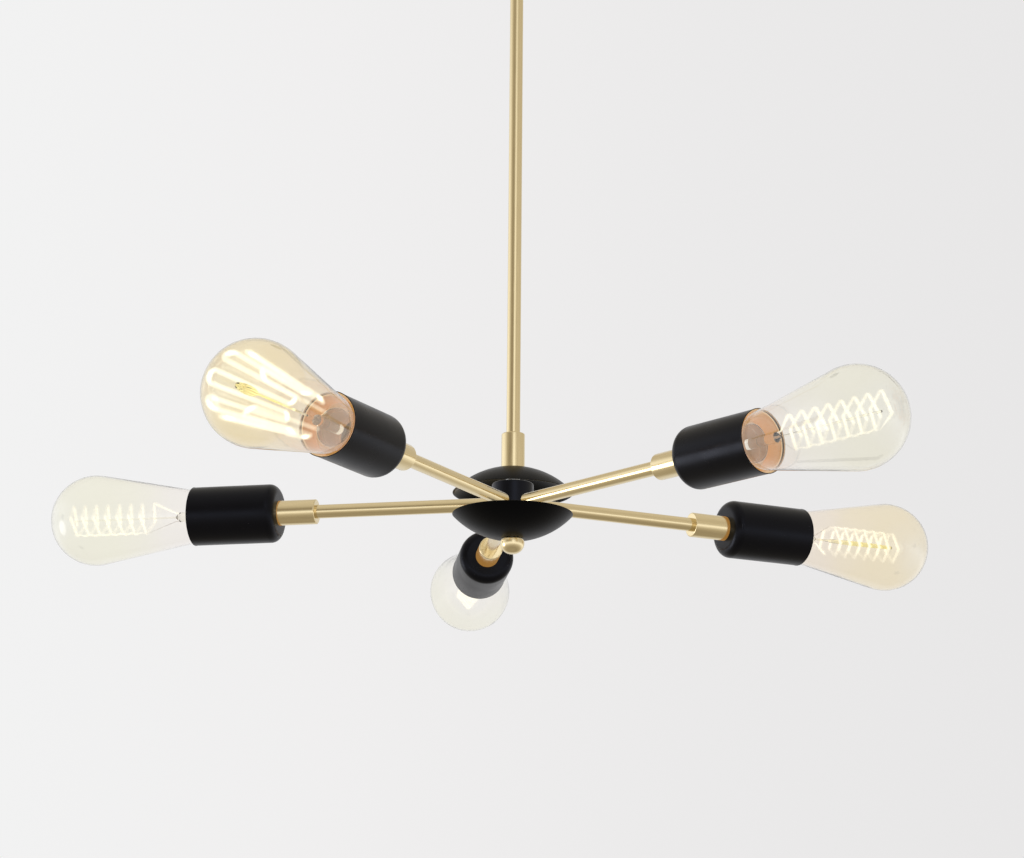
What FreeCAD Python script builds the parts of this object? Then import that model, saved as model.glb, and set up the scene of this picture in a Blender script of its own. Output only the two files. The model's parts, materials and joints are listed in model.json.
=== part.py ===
"""Five-arm sputnik chandelier on a down rod: brass tube arms, black socket cups, clear pear-shaped lamps.

Millimetres, +Z up.  The origin is on the ceiling plane, at the centre of the mounting strap.
Everything hangs below it: canopy, swivel, down rod, hub between two dishes, and the arms around it.
Distances "along" an arm are measured outwards from the vertical axis of the rod.
"""
import FreeCAD, Part
import math
import os

os.makedirs("parts", exist_ok=True)

Vector = FreeCAD.Vector

# ---- driving dimensions: tubes and threads ----
TUBE_R = 9.525 / 2          # 3/8 in brass tube: rod, arms and nipples share it
TUBE_BORE_R = 3.5
WIREWAY_R = 3.0
COLLAR_CHAMFER = 0.6

# ---- ceiling end ----
STRAP_LENGTH = 108.0
STRAP_WIDTH = 20.0
STRAP_THICKNESS = 2.0
STRAP_END_ROUND = 5.0
STRAP_CENTRE_HOLE_R = 7.0
BOX_SLOT_SPACING = 88.9     # 3 1/2 in between the outlet box screws
BOX_SLOT_LENGTH = 10.0
BOX_SLOT_R = 2.25
STUD_SPACING = 69.85        # 2 3/4 in between the canopy studs
STUD_R = 2.08
STUD_LENGTH = 29.5
GROUND_SCREW_X = 19.0
GROUND_SCREW_R = 2.4
GROUND_HEAD_ACROSS_FLATS = 8.0
GROUND_HEAD_HEIGHT = 2.5
CANOPY_R = 63.5
CANOPY_DEPTH = 25.0
CANOPY_WALL = 1.0
CANOPY_ROUND = 14.0
CANOPY_STUD_HOLE_R = 2.3
CAP_NUT_R = 4.5
CAP_NUT_HEIGHT = 8.0
NIPPLE_BELOW_CANOPY = 6.0
NIPPLE_ABOVE_CANOPY = 7.0
WASHER_R = 11.0
WASHER_THICKNESS = 1.0
LOCKNUT_ACROSS_FLATS = 14.0
LOCKNUT_HEIGHT = 3.2

# ---- hang-straight swivel ----
FORK_R = 11.0
FORK_BASE_HEIGHT = 8.0
FORK_SHOULDER = 3.0
FORK_FLAT_X = 10.0          # the ears are cut flat this far from the axis, for the screw heads
SLOT_HALF = 6.8             # half the gap between the ears
PIVOT_DROP = 8.5            # from the roof of the slot down to the pivot
TONGUE_HALF = 6.5
TONGUE_R = 7.0
EAR_REACH = 8.4             # from the pivot down to the ends of the ears
SHOULDER_GAP = 0.3          # between the ears and the shoulder of the lower half
TILT_LIMIT = 40.0           # degrees, where the ears meet the shoulder
SHOULDER_SCREW_R = 2.5
SHOULDER_FIT = 0.05         # running fit of the screws in the ears
SHOULDER_THREAD_R = 2.0
SHOULDER_THREAD_END_X = 3.4
SCREW_HEAD_R = 4.0
SCREW_HEAD_HEIGHT = 2.2
SCREW_HEAD_GAP = 0.1
SCREW_SLOT_WIDTH = 1.0
SWIVEL_FOOT_HEIGHT = 20.0

# ---- rod, hub and dishes ----
ROD_LENGTH = 457.2          # the 18 in size
ROD_ENGAGEMENT = 12.0
ROD_COLLAR_R = 8.1
ROD_COLLAR_LENGTH = 25.0
DISH_R = 41.3               # 3 1/4 in spun dishes
DISH_RIM_HEIGHT = 7.5       # rim above or below the plane of the arms
DISH_APEX_HEIGHT = 24.5
DISH_SEAT_R = 9.0
DISH_WALL = 1.2
HUB_R = 14.3
HUB_HALF_HEIGHT = 14.0
HUB_CHAMFER = 1.0
HUB_CAVITY_R = 9.0
HUB_CAVITY_HALF = 6.0
NIPPLE_IN_COLLAR = 10.0
NIPPLE_IN_FINIAL = 6.0
FINIAL_R = 8.3
FINIAL_TOP_R = 5.8
FINIAL_SHOULDER = 3.0
FINIAL_HEIGHT = 10.5

# ---- arms and sockets, distances along the arm ----
ARM_COUNT = 5
FIRST_ARM_AZIMUTH = 24.5    # degrees from +X, as the arms come to rest when their threads are tight
ARM_VISIBLE_END = 139.0
ARM_ENGAGEMENT = 11.0
COLLAR_R = 8.7
COLLAR_LENGTH = 27.0
CUP_NIPPLE_IN_COLLAR = 9.0
CUP_R = 20.5
CUP_LENGTH = 62.0
CUP_WALL = 1.2
CUP_BACK_ROUND = 3.0
HOLDER_R = 17.5
HOLDER_CHAMFER = 2.5
HOLDER_NIPPLE_DEPTH = 8.0
HOLDER_CHAMBER_R = 12.0
HOLDER_FLOOR_THICKNESS = 6.0
HOLDER_MOUTH_DEPTH = 14.0   # from the mouth of the cup back to the front of the lamp holder
SHELL_WALL = 0.5
SHELL_MOUTH_DEPTH = 15.5    # from the mouth of the cup back to the front of the screw shell
SHELL_FLANGE_R = 8.5
CONTACT_WIDTH = 5.0
CONTACT_THICKNESS = 0.6
CONTACT_GAP = 0.1

# ---- lamps: pear shape, 64 mm across, 26 mm screw cap ----
LAMP_CAP_R = 13.0
SHELL_FIT = 0.075           # radial play of the cap in the screw shell
LAMP_SEAT_DEPTH = 35.0      # from the mouth of the cup back to the lamp's centre contact
LAMP_TIP_LENGTH = 5.0
LAMP_CAP_LENGTH = 22.0
LAMP_CAP_WALL = 0.7
LAMP_TIP_GAP = 0.05
GLASS_NECK_R = 12.2
GLASS_NECK_INSIDE_CAP = 5.0
GLASS_WALL = 0.8
GLASS_MAX_R = 32.0
GLASS_MOUTH_R = 18.6        # where the cone of the glass passes the mouth of the cup
GLASS_TIP_REACH = 105.0     # from the mouth of the cup out to the crown
STEM_R = 4.5
STEM_TOP_REACH = 14.0
CANE_R = 1.4
CANE_TOP_REACH = 92.0

# ---- filaments ----
FILAMENT_HALF_WIDTH = 0.4
FILAMENT_START_REACH = 27.0
FILAMENT_END_REACH = 90.0
LEAD_ROOT_R = 3.0           # where the two ends of the wire enter the glass stem
LEAD_DEPTH = 4.0
SPIRAL_TURNS = 7
SPIRAL_RADIUS = 11.5
RETURN_LEAD_R = 14.5
RETURN_LEAD_AZIMUTH = -90.0 # straight down when the lamp is screwed home
RETURN_LEAD_LAG = 50.0      # the spiral ends this many degrees before the return lead
CAGE_LAMP = 4               # the lamp with the long looped filament; the others have a spiral
CAGE_LOOPS = 7
CAGE_START_REACH = 22.0
CAGE_END_REACH = 94.0
CAGE_NEAR_R = 13.5          # the loops flare from this radius at the stem
CAGE_CROWN_R = 20.0         # to this one at the crown

# ---- worked out from the above ----
FORK_TOP_Z = -CANOPY_DEPTH
SLOT_ROOF_Z = FORK_TOP_Z - FORK_BASE_HEIGHT
PIVOT_Z = SLOT_ROOF_Z - PIVOT_DROP
SHOULDER_Z = PIVOT_Z - EAR_REACH - SHOULDER_GAP
SWIVEL_FOOT_Z = SHOULDER_Z - SWIVEL_FOOT_HEIGHT
ROD_TOP_Z = SWIVEL_FOOT_Z + ROD_ENGAGEMENT
ROD_BOTTOM_Z = ROD_TOP_Z - ROD_LENGTH
COLLAR_TOP_Z = ROD_BOTTOM_Z + ROD_ENGAGEMENT
COLLAR_BOTTOM_Z = COLLAR_TOP_Z - ROD_COLLAR_LENGTH
HUB_Z = COLLAR_BOTTOM_Z - DISH_APEX_HEIGHT
CUP_BACK = ARM_VISIBLE_END + COLLAR_LENGTH
CUP_MOUTH = CUP_BACK + CUP_LENGTH
HOLDER_BACK = CUP_BACK + CUP_WALL
HOLDER_FRONT = CUP_MOUTH - HOLDER_MOUTH_DEPTH
LAMP_TIP = CUP_MOUTH - LAMP_SEAT_DEPTH
LAMP_CAP_BACK = LAMP_TIP + LAMP_TIP_LENGTH
LAMP_CAP_FRONT = LAMP_CAP_BACK + LAMP_CAP_LENGTH
GLASS_SHOULDER_START = LAMP_CAP_FRONT + 0.5
HOLDER_FLOOR = LAMP_TIP - 3.0
SHELL_INNER_R = LAMP_CAP_R + SHELL_FIT
SHELL_OUTER_R = SHELL_INNER_R + SHELL_WALL


# ---- small tools ----
def save(shape, node):
    shape.exportStep("parts/" + node + ".step")


def turned(outline, axis="Z"):
    """Lathe a closed outline of (along, radius) steps about Z or X.

    A step of four numbers is an arc: through its first pair, ending at its second pair.
    """
    def place(along, radius):
        if axis == "Z":
            return Vector(radius, 0, along)
        return Vector(along, 0, radius)

    edges = []
    here = outline[0]
    for step in outline[1:] + [outline[0]]:
        end = step[-2:]
        if len(step) == 4:
            edges.append(Part.Arc(place(*here), place(*step[:2]), place(*end)).toShape())
        else:
            edges.append(Part.makeLine(place(*here), place(*end)))
        here = end
    turning_axis = Vector(0, 0, 1) if axis == "Z" else Vector(1, 0, 0)
    solid = Part.Face(Part.Wire(edges)).revolve(Vector(0, 0, 0), turning_axis, 360)
    return outward(solid)


def outward(solid):
    if solid.Volume < 0:
        solid.reverse()
    return solid


def dome_to(tip, base, ring_r):
    """Arc step from a ring at base to a tip on the axis, along a cap of a sphere."""
    height = tip - base
    ball_r = (ring_r ** 2 + height ** 2) / (2 * abs(height))
    centre = tip - math.copysign(ball_r, height)
    half_angle = math.atan2(ring_r, ball_r - abs(height)) / 2
    half_way = centre + math.copysign(ball_r * math.cos(half_angle), height)
    return (half_way, ball_r * math.sin(half_angle), tip, 0)


def tube(start, end, outer_r, inner_r, axis="Z"):
    return turned([(start, inner_r), (start, outer_r), (end, outer_r), (end, inner_r)], axis)


def hex_nut(bottom_z, height, across_flats, hole_r):
    corner_r = across_flats / 2 / math.cos(math.radians(30))
    corners = []
    for corner in range(7):
        angle = math.radians(60 * corner)
        corners.append(Vector(corner_r * math.cos(angle), corner_r * math.sin(angle), bottom_z))
    nut = Part.Face(Part.makePolygon(corners)).extrude(Vector(0, 0, height))
    if hole_r:
        nut = nut.cut(Part.makeCylinder(hole_r, height, Vector(0, 0, bottom_z)))
    return nut


def on_hub(shape):
    """Move a shape that was drawn around the plane of the arms down to the hub."""
    return shape.translated(Vector(0, 0, HUB_Z))


def on_arm(shape, index):
    """Turn a shape that was drawn along +X to the azimuth of one arm, at the hub's height."""
    azimuth = FIRST_ARM_AZIMUTH + 360.0 / ARM_COUNT * index
    return on_hub(shape.rotated(Vector(0, 0, 0), Vector(0, 0, 1), azimuth))


def on_every_arm(shape):
    return Part.makeCompound([on_arm(shape, index) for index in range(ARM_COUNT)])


def pair_in_x(shape, spacing):
    half = Vector(spacing / 2, 0, 0)
    return shape.translated(half), shape.translated(-half)


# ---- ceiling end ----
def mounting_strap():
    plate = Part.makeBox(STRAP_LENGTH, STRAP_WIDTH, STRAP_THICKNESS,
                         Vector(-STRAP_LENGTH / 2, -STRAP_WIDTH / 2, -STRAP_THICKNESS))
    upright = [edge for edge in plate.Edges if abs(edge.tangentAt(edge.FirstParameter).z) > 0.9]
    plate = plate.makeFillet(STRAP_END_ROUND, upright)
    floor = Vector(0, 0, -STRAP_THICKNESS)
    straight = BOX_SLOT_LENGTH - 2 * BOX_SLOT_R
    slot_corner = Vector(-straight / 2, -BOX_SLOT_R, floor.z)
    slot = Part.makeBox(straight, 2 * BOX_SLOT_R, STRAP_THICKNESS, slot_corner)
    slot_end = Part.makeCylinder(BOX_SLOT_R, STRAP_THICKNESS, floor)
    slot = slot.fuse(list(pair_in_x(slot_end, straight))).removeSplitter()
    stud_hole = Part.makeCylinder(STUD_R, STRAP_THICKNESS, floor)
    centre_hole = Part.makeCylinder(STRAP_CENTRE_HOLE_R, STRAP_THICKNESS, floor)
    ground_hole = Part.makeCylinder(GROUND_SCREW_R, STRAP_THICKNESS, Vector(GROUND_SCREW_X, 0, floor.z))
    holes = [centre_hole, ground_hole]
    holes += pair_in_x(slot, BOX_SLOT_SPACING)
    holes += pair_in_x(stud_hole, STUD_SPACING)
    return plate.cut(holes)


def canopy_studs():
    stud = Part.makeCylinder(STUD_R, STUD_LENGTH, Vector(0, 0, -STUD_LENGTH))
    return Part.makeCompound(pair_in_x(stud, STUD_SPACING))


def canopy():
    bend = math.sqrt(0.5)
    inner_r = CANOPY_R - CANOPY_WALL
    inner_round = CANOPY_ROUND - CANOPY_WALL
    centre_z = -CANOPY_DEPTH + CANOPY_ROUND
    centre_r = CANOPY_R - CANOPY_ROUND
    shell = turned([
        (0, inner_r),
        (0, CANOPY_R),
        (centre_z, CANOPY_R),
        (centre_z - CANOPY_ROUND * bend, centre_r + CANOPY_ROUND * bend, -CANOPY_DEPTH, centre_r),
        (-CANOPY_DEPTH, TUBE_R),
        (-CANOPY_DEPTH + CANOPY_WALL, TUBE_R),
        (-CANOPY_DEPTH + CANOPY_WALL, centre_r),
        (centre_z - inner_round * bend, centre_r + inner_round * bend, centre_z, inner_r),
    ])
    hole_start = Vector(0, 0, -CANOPY_DEPTH - CANOPY_WALL / 2)
    hole = Part.makeCylinder(CANOPY_STUD_HOLE_R, 2 * CANOPY_WALL, hole_start)
    return shell.cut(list(pair_in_x(hole, STUD_SPACING)))


def canopy_cap_nuts():
    face = -CANOPY_DEPTH
    dome_start = face - CAP_NUT_HEIGHT / 2
    tip = face - CAP_NUT_HEIGHT
    nut = turned([
        (face, STUD_R),
        (face, CAP_NUT_R),
        (dome_start, CAP_NUT_R),
        dome_to(tip, dome_start, CAP_NUT_R),
        (-STUD_LENGTH, 0),
        (-STUD_LENGTH, STUD_R),
    ])
    return Part.makeCompound(pair_in_x(nut, STUD_SPACING))


def ground_screw():
    shank = Part.makeCylinder(GROUND_SCREW_R, STRAP_THICKNESS, Vector(0, 0, -STRAP_THICKNESS))
    head = hex_nut(-STRAP_THICKNESS - GROUND_HEAD_HEIGHT, GROUND_HEAD_HEIGHT, GROUND_HEAD_ACROSS_FLATS, 0)
    return shank.fuse(head).translated(Vector(GROUND_SCREW_X, 0, 0))


def canopy_nipple():
    low = -CANOPY_DEPTH - NIPPLE_BELOW_CANOPY
    high = -CANOPY_DEPTH + NIPPLE_ABOVE_CANOPY
    return tube(low, high, TUBE_R, TUBE_BORE_R)


def canopy_washer():
    floor = -CANOPY_DEPTH + CANOPY_WALL
    return tube(floor, floor + WASHER_THICKNESS, WASHER_R, TUBE_R)


def canopy_locknut():
    low = -CANOPY_DEPTH + CANOPY_WALL + WASHER_THICKNESS
    return hex_nut(low, LOCKNUT_HEIGHT, LOCKNUT_ACROSS_FLATS, TUBE_R)


# ---- hang-straight swivel ----
def swivel_fork():
    """Turned body with a slot across it; the two ears end in an arc and two flats that stop the tilt."""
    ear_end = PIVOT_Z - EAR_REACH
    bend = math.sqrt(0.5)
    body = turned([
        (FORK_TOP_Z, TUBE_R),
        (FORK_TOP_Z, FORK_R - FORK_SHOULDER),
        (FORK_TOP_Z - FORK_SHOULDER * (1 - bend), FORK_R - FORK_SHOULDER * (1 - bend),
         FORK_TOP_Z - FORK_SHOULDER, FORK_R),
        (ear_end, FORK_R),
        (ear_end, WIREWAY_R),
        (FORK_TOP_Z - NIPPLE_BELOW_CANOPY, WIREWAY_R),
        (FORK_TOP_Z - NIPPLE_BELOW_CANOPY, TUBE_R),
    ])
    side = 2 * FORK_R
    slot = Part.makeBox(2 * SLOT_HALF, 2 * side, side, Vector(-SLOT_HALF, -side, SLOT_ROOF_Z - side))
    limit = math.radians(TILT_LIMIT)
    touch_y = EAR_REACH * math.sin(limit)
    touch_z = PIVOT_Z - EAR_REACH * math.cos(limit)
    rise_z = touch_z + (side - touch_y) * math.tan(limit)
    outline = [
        Part.makeLine(Vector(-FORK_FLAT_X, -side, 0), Vector(-FORK_FLAT_X, side, 0)),
        Part.makeLine(Vector(-FORK_FLAT_X, side, 0), Vector(-FORK_FLAT_X, side, rise_z)),
        Part.makeLine(Vector(-FORK_FLAT_X, side, rise_z), Vector(-FORK_FLAT_X, touch_y, touch_z)),
        Part.Arc(Vector(-FORK_FLAT_X, touch_y, touch_z), Vector(-FORK_FLAT_X, 0, ear_end),
                 Vector(-FORK_FLAT_X, -touch_y, touch_z)).toShape(),
        Part.makeLine(Vector(-FORK_FLAT_X, -touch_y, touch_z), Vector(-FORK_FLAT_X, -side, rise_z)),
        Part.makeLine(Vector(-FORK_FLAT_X, -side, rise_z), Vector(-FORK_FLAT_X, -side, 0)),
    ]
    ears = Part.Face(Part.Wire(outline)).extrude(Vector(2 * FORK_FLAT_X, 0, 0))
    full_width = Part.makeBox(2 * side, 2 * side, side, Vector(-side, -side, SLOT_ROOF_Z))
    keep = ears.fuse(full_width)
    pivot_start = Vector(-side, 0, PIVOT_Z)
    pivot_hole = Part.makeCylinder(SHOULDER_SCREW_R + SHOULDER_FIT, 2 * side, pivot_start, Vector(1, 0, 0))
    return body.common(keep).cut([slot, pivot_hole])


def swivel_barrel():
    """Lower half: a round foot that takes the rod, and a tongue that stands between the ears."""
    foot = turned([
        (SHOULDER_Z, WIREWAY_R),
        (SHOULDER_Z, ROD_COLLAR_R),
        (SWIVEL_FOOT_Z + COLLAR_CHAMFER, ROD_COLLAR_R),
        (SWIVEL_FOOT_Z, ROD_COLLAR_R - COLLAR_CHAMFER),
        (SWIVEL_FOOT_Z, TUBE_R),
        (ROD_TOP_Z, TUBE_R),
        (ROD_TOP_Z, WIREWAY_R),
    ])
    across_x = Vector(1, 0, 0)
    tongue_corner = Vector(-TONGUE_HALF, -TONGUE_R, SHOULDER_Z)
    tongue = Part.makeBox(2 * TONGUE_HALF, 2 * TONGUE_R, PIVOT_Z - SHOULDER_Z, tongue_corner)
    tongue = tongue.common(Part.makeCylinder(ROD_COLLAR_R, 2 * TONGUE_R, Vector(0, 0, SHOULDER_Z)))
    crown = Part.makeCylinder(TONGUE_R, 2 * TONGUE_HALF, Vector(-TONGUE_HALF, 0, PIVOT_Z), across_x)
    crown = crown.common(Part.makeCylinder(ROD_COLLAR_R, 2 * TONGUE_R, Vector(0, 0, PIVOT_Z - TONGUE_R)))
    wireway = Part.makeCylinder(WIREWAY_R, PIVOT_DROP + EAR_REACH, Vector(0, 0, SHOULDER_Z))
    thread_depth = TONGUE_HALF - SHOULDER_THREAD_END_X
    threads = [Part.makeCylinder(SHOULDER_THREAD_R, thread_depth, Vector(start_x, 0, PIVOT_Z), across_x)
               for start_x in (-TONGUE_HALF, SHOULDER_THREAD_END_X)]
    return foot.fuse([tongue, crown]).cut([wireway] + threads).removeSplitter()


def pivot_screws():
    head_face = FORK_FLAT_X + SCREW_HEAD_GAP
    head_end = head_face + SCREW_HEAD_HEIGHT
    screw = turned([
        (SHOULDER_THREAD_END_X, 0),
        (SHOULDER_THREAD_END_X, SHOULDER_THREAD_R),
        (TONGUE_HALF, SHOULDER_THREAD_R),
        (TONGUE_HALF, SHOULDER_SCREW_R),
        (head_face, SHOULDER_SCREW_R),
        (head_face, SCREW_HEAD_R),
        (head_end - COLLAR_CHAMFER, SCREW_HEAD_R),
        (head_end, SCREW_HEAD_R - COLLAR_CHAMFER),
        (head_end, 0),
    ], "X")
    driver_slot = Part.makeBox(SCREW_SLOT_WIDTH, 4 * SCREW_HEAD_R, SCREW_SLOT_WIDTH,
                               Vector(head_end - SCREW_SLOT_WIDTH, -2 * SCREW_HEAD_R, -SCREW_SLOT_WIDTH / 2))
    screw = screw.cut(driver_slot).translated(Vector(0, 0, PIVOT_Z))
    other = screw.rotated(Vector(0, 0, 0), Vector(0, 0, 1), 180)
    return Part.makeCompound([screw, other])


# ---- rod, hub and dishes ----
def down_rod():
    return tube(ROD_BOTTOM_Z, ROD_TOP_Z, TUBE_R, TUBE_BORE_R)


def rod_collar():
    """Brass collar that joins the rod to the hub and clamps the upper dish."""
    return turned([
        (COLLAR_BOTTOM_Z, TUBE_R),
        (COLLAR_BOTTOM_Z, ROD_COLLAR_R),
        (COLLAR_TOP_Z - COLLAR_CHAMFER, ROD_COLLAR_R),
        (COLLAR_TOP_Z, ROD_COLLAR_R - COLLAR_CHAMFER),
        (COLLAR_TOP_Z, TUBE_R),
        (ROD_BOTTOM_Z, TUBE_R),
        (ROD_BOTTOM_Z, WIREWAY_R),
        (COLLAR_BOTTOM_Z + NIPPLE_IN_COLLAR, WIREWAY_R),
        (COLLAR_BOTTOM_Z + NIPPLE_IN_COLLAR, TUBE_R),
    ])


def dish(side):
    """One spun dish, side +1 above the arms and -1 below: a cap of a sphere with a flat seat and a hole."""
    centre = ((DISH_APEX_HEIGHT ** 2 + DISH_SEAT_R ** 2 - DISH_RIM_HEIGHT ** 2 - DISH_R ** 2)
              / (2 * (DISH_APEX_HEIGHT - DISH_RIM_HEIGHT)))
    outer = math.hypot(DISH_RIM_HEIGHT - centre, DISH_R)
    inner = outer - DISH_WALL
    inner_top = DISH_APEX_HEIGHT - DISH_WALL

    def on_sphere(radius, ring):
        return centre + math.sqrt(radius ** 2 - ring ** 2)

    inner_rim = math.sqrt(inner ** 2 - (DISH_RIM_HEIGHT - centre) ** 2)
    inner_seat = math.sqrt(inner ** 2 - (inner_top - centre) ** 2)
    middle = (DISH_R + DISH_SEAT_R) / 2
    outline = [
        (DISH_RIM_HEIGHT, DISH_R),
        (on_sphere(outer, middle), middle, DISH_APEX_HEIGHT, DISH_SEAT_R),
        (DISH_APEX_HEIGHT, TUBE_R),
        (inner_top, TUBE_R),
        (inner_top, inner_seat),
        (on_sphere(inner, middle), middle, DISH_RIM_HEIGHT, inner_rim),
    ]
    cap = turned(outline)
    if side < 0:
        cap = cap.rotated(Vector(0, 0, 0), Vector(1, 0, 0), 180)
    return on_hub(cap)


def hub_body():
    """Black turned block with a wiring cavity; a nipple above and below, and an arm in each side hole."""
    edge = HUB_HALF_HEIGHT - HUB_CHAMFER
    block = turned([
        (-HUB_HALF_HEIGHT, TUBE_R),
        (-HUB_HALF_HEIGHT, HUB_R - HUB_CHAMFER),
        (-edge, HUB_R),
        (edge, HUB_R),
        (HUB_HALF_HEIGHT, HUB_R - HUB_CHAMFER),
        (HUB_HALF_HEIGHT, TUBE_R),
        (HUB_CAVITY_HALF, TUBE_R),
        (HUB_CAVITY_HALF, HUB_CAVITY_R),
        (-HUB_CAVITY_HALF, HUB_CAVITY_R),
        (-HUB_CAVITY_HALF, TUBE_R),
    ])
    arm_hole = Part.makeCylinder(TUBE_R, HUB_R, Vector(HUB_CAVITY_R / 2, 0, 0), Vector(1, 0, 0))
    return on_hub(block).cut([on_arm(arm_hole, index) for index in range(ARM_COUNT)])


def hub_nipples():
    upper = tube(HUB_CAVITY_HALF, DISH_APEX_HEIGHT + NIPPLE_IN_COLLAR, TUBE_R, TUBE_BORE_R)
    lower = tube(-DISH_APEX_HEIGHT - NIPPLE_IN_FINIAL, -HUB_CAVITY_HALF, TUBE_R, TUBE_BORE_R)
    return on_hub(Part.makeCompound([upper, lower]))


def dish_locknuts():
    top = DISH_APEX_HEIGHT - DISH_WALL
    upper = hex_nut(top - LOCKNUT_HEIGHT, LOCKNUT_HEIGHT, LOCKNUT_ACROSS_FLATS, TUBE_R)
    lower = hex_nut(-top, LOCKNUT_HEIGHT, LOCKNUT_ACROSS_FLATS, TUBE_R)
    return on_hub(Part.makeCompound([upper, lower]))


def finial():
    """Brass end knob under the lower dish, round below and flat where it clamps the dish."""
    top = -DISH_APEX_HEIGHT
    waist = top - FINIAL_SHOULDER
    bottom = top - FINIAL_HEIGHT
    bend = math.sqrt(0.5)
    shoulder = (top - FINIAL_SHOULDER * (1 - bend), FINIAL_TOP_R + (FINIAL_R - FINIAL_TOP_R) * bend)
    knob = turned([
        (top, TUBE_R),
        (top, FINIAL_TOP_R),
        shoulder + (waist, FINIAL_R),
        dome_to(bottom, waist, FINIAL_R),
        (top - NIPPLE_IN_FINIAL, 0),
        (top - NIPPLE_IN_FINIAL, TUBE_R),
    ])
    return on_hub(knob)


# ---- arms and sockets, drawn along +X ----
def arm():
    return tube(HUB_CAVITY_R, ARM_VISIBLE_END + ARM_ENGAGEMENT, TUBE_R, TUBE_BORE_R, "X")


def socket_collar():
    nipple_start = CUP_BACK - CUP_NIPPLE_IN_COLLAR
    arm_end = ARM_VISIBLE_END + ARM_ENGAGEMENT
    return turned([
        (ARM_VISIBLE_END, TUBE_R),
        (ARM_VISIBLE_END, COLLAR_R - COLLAR_CHAMFER),
        (ARM_VISIBLE_END + COLLAR_CHAMFER, COLLAR_R),
        (CUP_BACK, COLLAR_R),
        (CUP_BACK, TUBE_R),
        (nipple_start, TUBE_R),
        (nipple_start, WIREWAY_R),
        (arm_end, WIREWAY_R),
        (arm_end, TUBE_R),
    ], "X")


def cup_nipple():
    start = CUP_BACK - CUP_NIPPLE_IN_COLLAR
    end = HOLDER_BACK + HOLDER_NIPPLE_DEPTH
    return tube(start, end, TUBE_R, TUBE_BORE_R, "X")


def socket_cup():
    """Black cup with a flat back, a rounded back edge and a thin plain mouth."""
    bend = math.sqrt(0.5)
    flat_r = CUP_R - CUP_BACK_ROUND
    inner_r = CUP_R - CUP_WALL
    inner_round = CUP_BACK_ROUND - CUP_WALL
    turn = CUP_BACK + CUP_BACK_ROUND
    return turned([
        (CUP_BACK, TUBE_R),
        (CUP_BACK, flat_r),
        (turn - CUP_BACK_ROUND * bend, flat_r + CUP_BACK_ROUND * bend, turn, CUP_R),
        (CUP_MOUTH, CUP_R),
        (CUP_MOUTH, inner_r),
        (turn, inner_r),
        (turn - inner_round * bend, flat_r + inner_round * bend, HOLDER_BACK, flat_r),
        (HOLDER_BACK, TUBE_R),
    ], "X")


def lamp_holder():
    """Moulded insulator: wiring chamber at the back, floor for the contact, cavity for the screw shell."""
    chamber_back = HOLDER_BACK + HOLDER_NIPPLE_DEPTH
    floor_back = HOLDER_FLOOR - HOLDER_FLOOR_THICKNESS
    return turned([
        (HOLDER_BACK, TUBE_R),
        (HOLDER_BACK, HOLDER_R - HOLDER_CHAMFER),
        (HOLDER_BACK + HOLDER_CHAMFER, HOLDER_R),
        (HOLDER_FRONT, HOLDER_R),
        (HOLDER_FRONT, SHELL_OUTER_R),
        (HOLDER_FLOOR, SHELL_OUTER_R),
        (HOLDER_FLOOR, 0),
        (floor_back, 0),
        (floor_back, HOLDER_CHAMBER_R),
        (chamber_back, HOLDER_CHAMBER_R),
        (chamber_back, TUBE_R),
    ], "X")


def screw_shell():
    front = CUP_MOUTH - SHELL_MOUTH_DEPTH
    return turned([
        (HOLDER_FLOOR, SHELL_FLANGE_R),
        (HOLDER_FLOOR, SHELL_OUTER_R),
        (front, SHELL_OUTER_R),
        (front, SHELL_INNER_R),
        (HOLDER_FLOOR + SHELL_WALL, SHELL_INNER_R),
        (HOLDER_FLOOR + SHELL_WALL, SHELL_FLANGE_R),
    ], "X")


def centre_contact():
    """Spring tongue: flat on the floor of the holder, then bent up to stand under the lamp's tip."""
    top = LAMP_TIP - CONTACT_GAP
    low = HOLDER_FLOOR
    foot_end = -7.0
    bend_start = -2.5
    bend_end = 0.5
    tongue_end = 3.0
    lean = CONTACT_THICKNESS / 2
    outline = [
        (low, foot_end),
        (low, bend_start),
        (top - CONTACT_THICKNESS, bend_end),
        (top - CONTACT_THICKNESS, tongue_end),
        (top, tongue_end),
        (top, bend_end - lean),
        (low + CONTACT_THICKNESS, bend_start - lean),
        (low + CONTACT_THICKNESS, foot_end),
        (low, foot_end),
    ]
    side = Part.makePolygon([Vector(along, -CONTACT_WIDTH / 2, height) for along, height in outline])
    return Part.Face(side).extrude(Vector(0, CONTACT_WIDTH, 0))


# ---- lamps, drawn along +X ----
def lamp_tip():
    """Centre contact of the lamp on its black glass insulator."""
    insulator_back = LAMP_TIP + 1.6
    return turned([
        (LAMP_TIP, 0),
        (LAMP_TIP + 0.4, 2.4, insulator_back, 4.2),
        (insulator_back, 5.4),
        (LAMP_CAP_BACK, 11.2),
        (LAMP_CAP_BACK, 0),
    ], "X")


def lamp_cap():
    back = LAMP_CAP_BACK + LAMP_TIP_GAP
    cone = 2.2
    rim_r = LAMP_CAP_R - 1.8
    hole_r = rim_r - 1.6
    inner_r = LAMP_CAP_R - LAMP_CAP_WALL
    return turned([
        (back, hole_r),
        (back, rim_r),
        (back + cone, LAMP_CAP_R),
        (LAMP_CAP_FRONT, LAMP_CAP_R),
        (LAMP_CAP_FRONT, inner_r),
        (back + cone + LAMP_CAP_WALL / 2, inner_r),
        (back + LAMP_CAP_WALL, rim_r - LAMP_CAP_WALL / 2),
        (back + LAMP_CAP_WALL, hole_r),
    ], "X")


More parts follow.
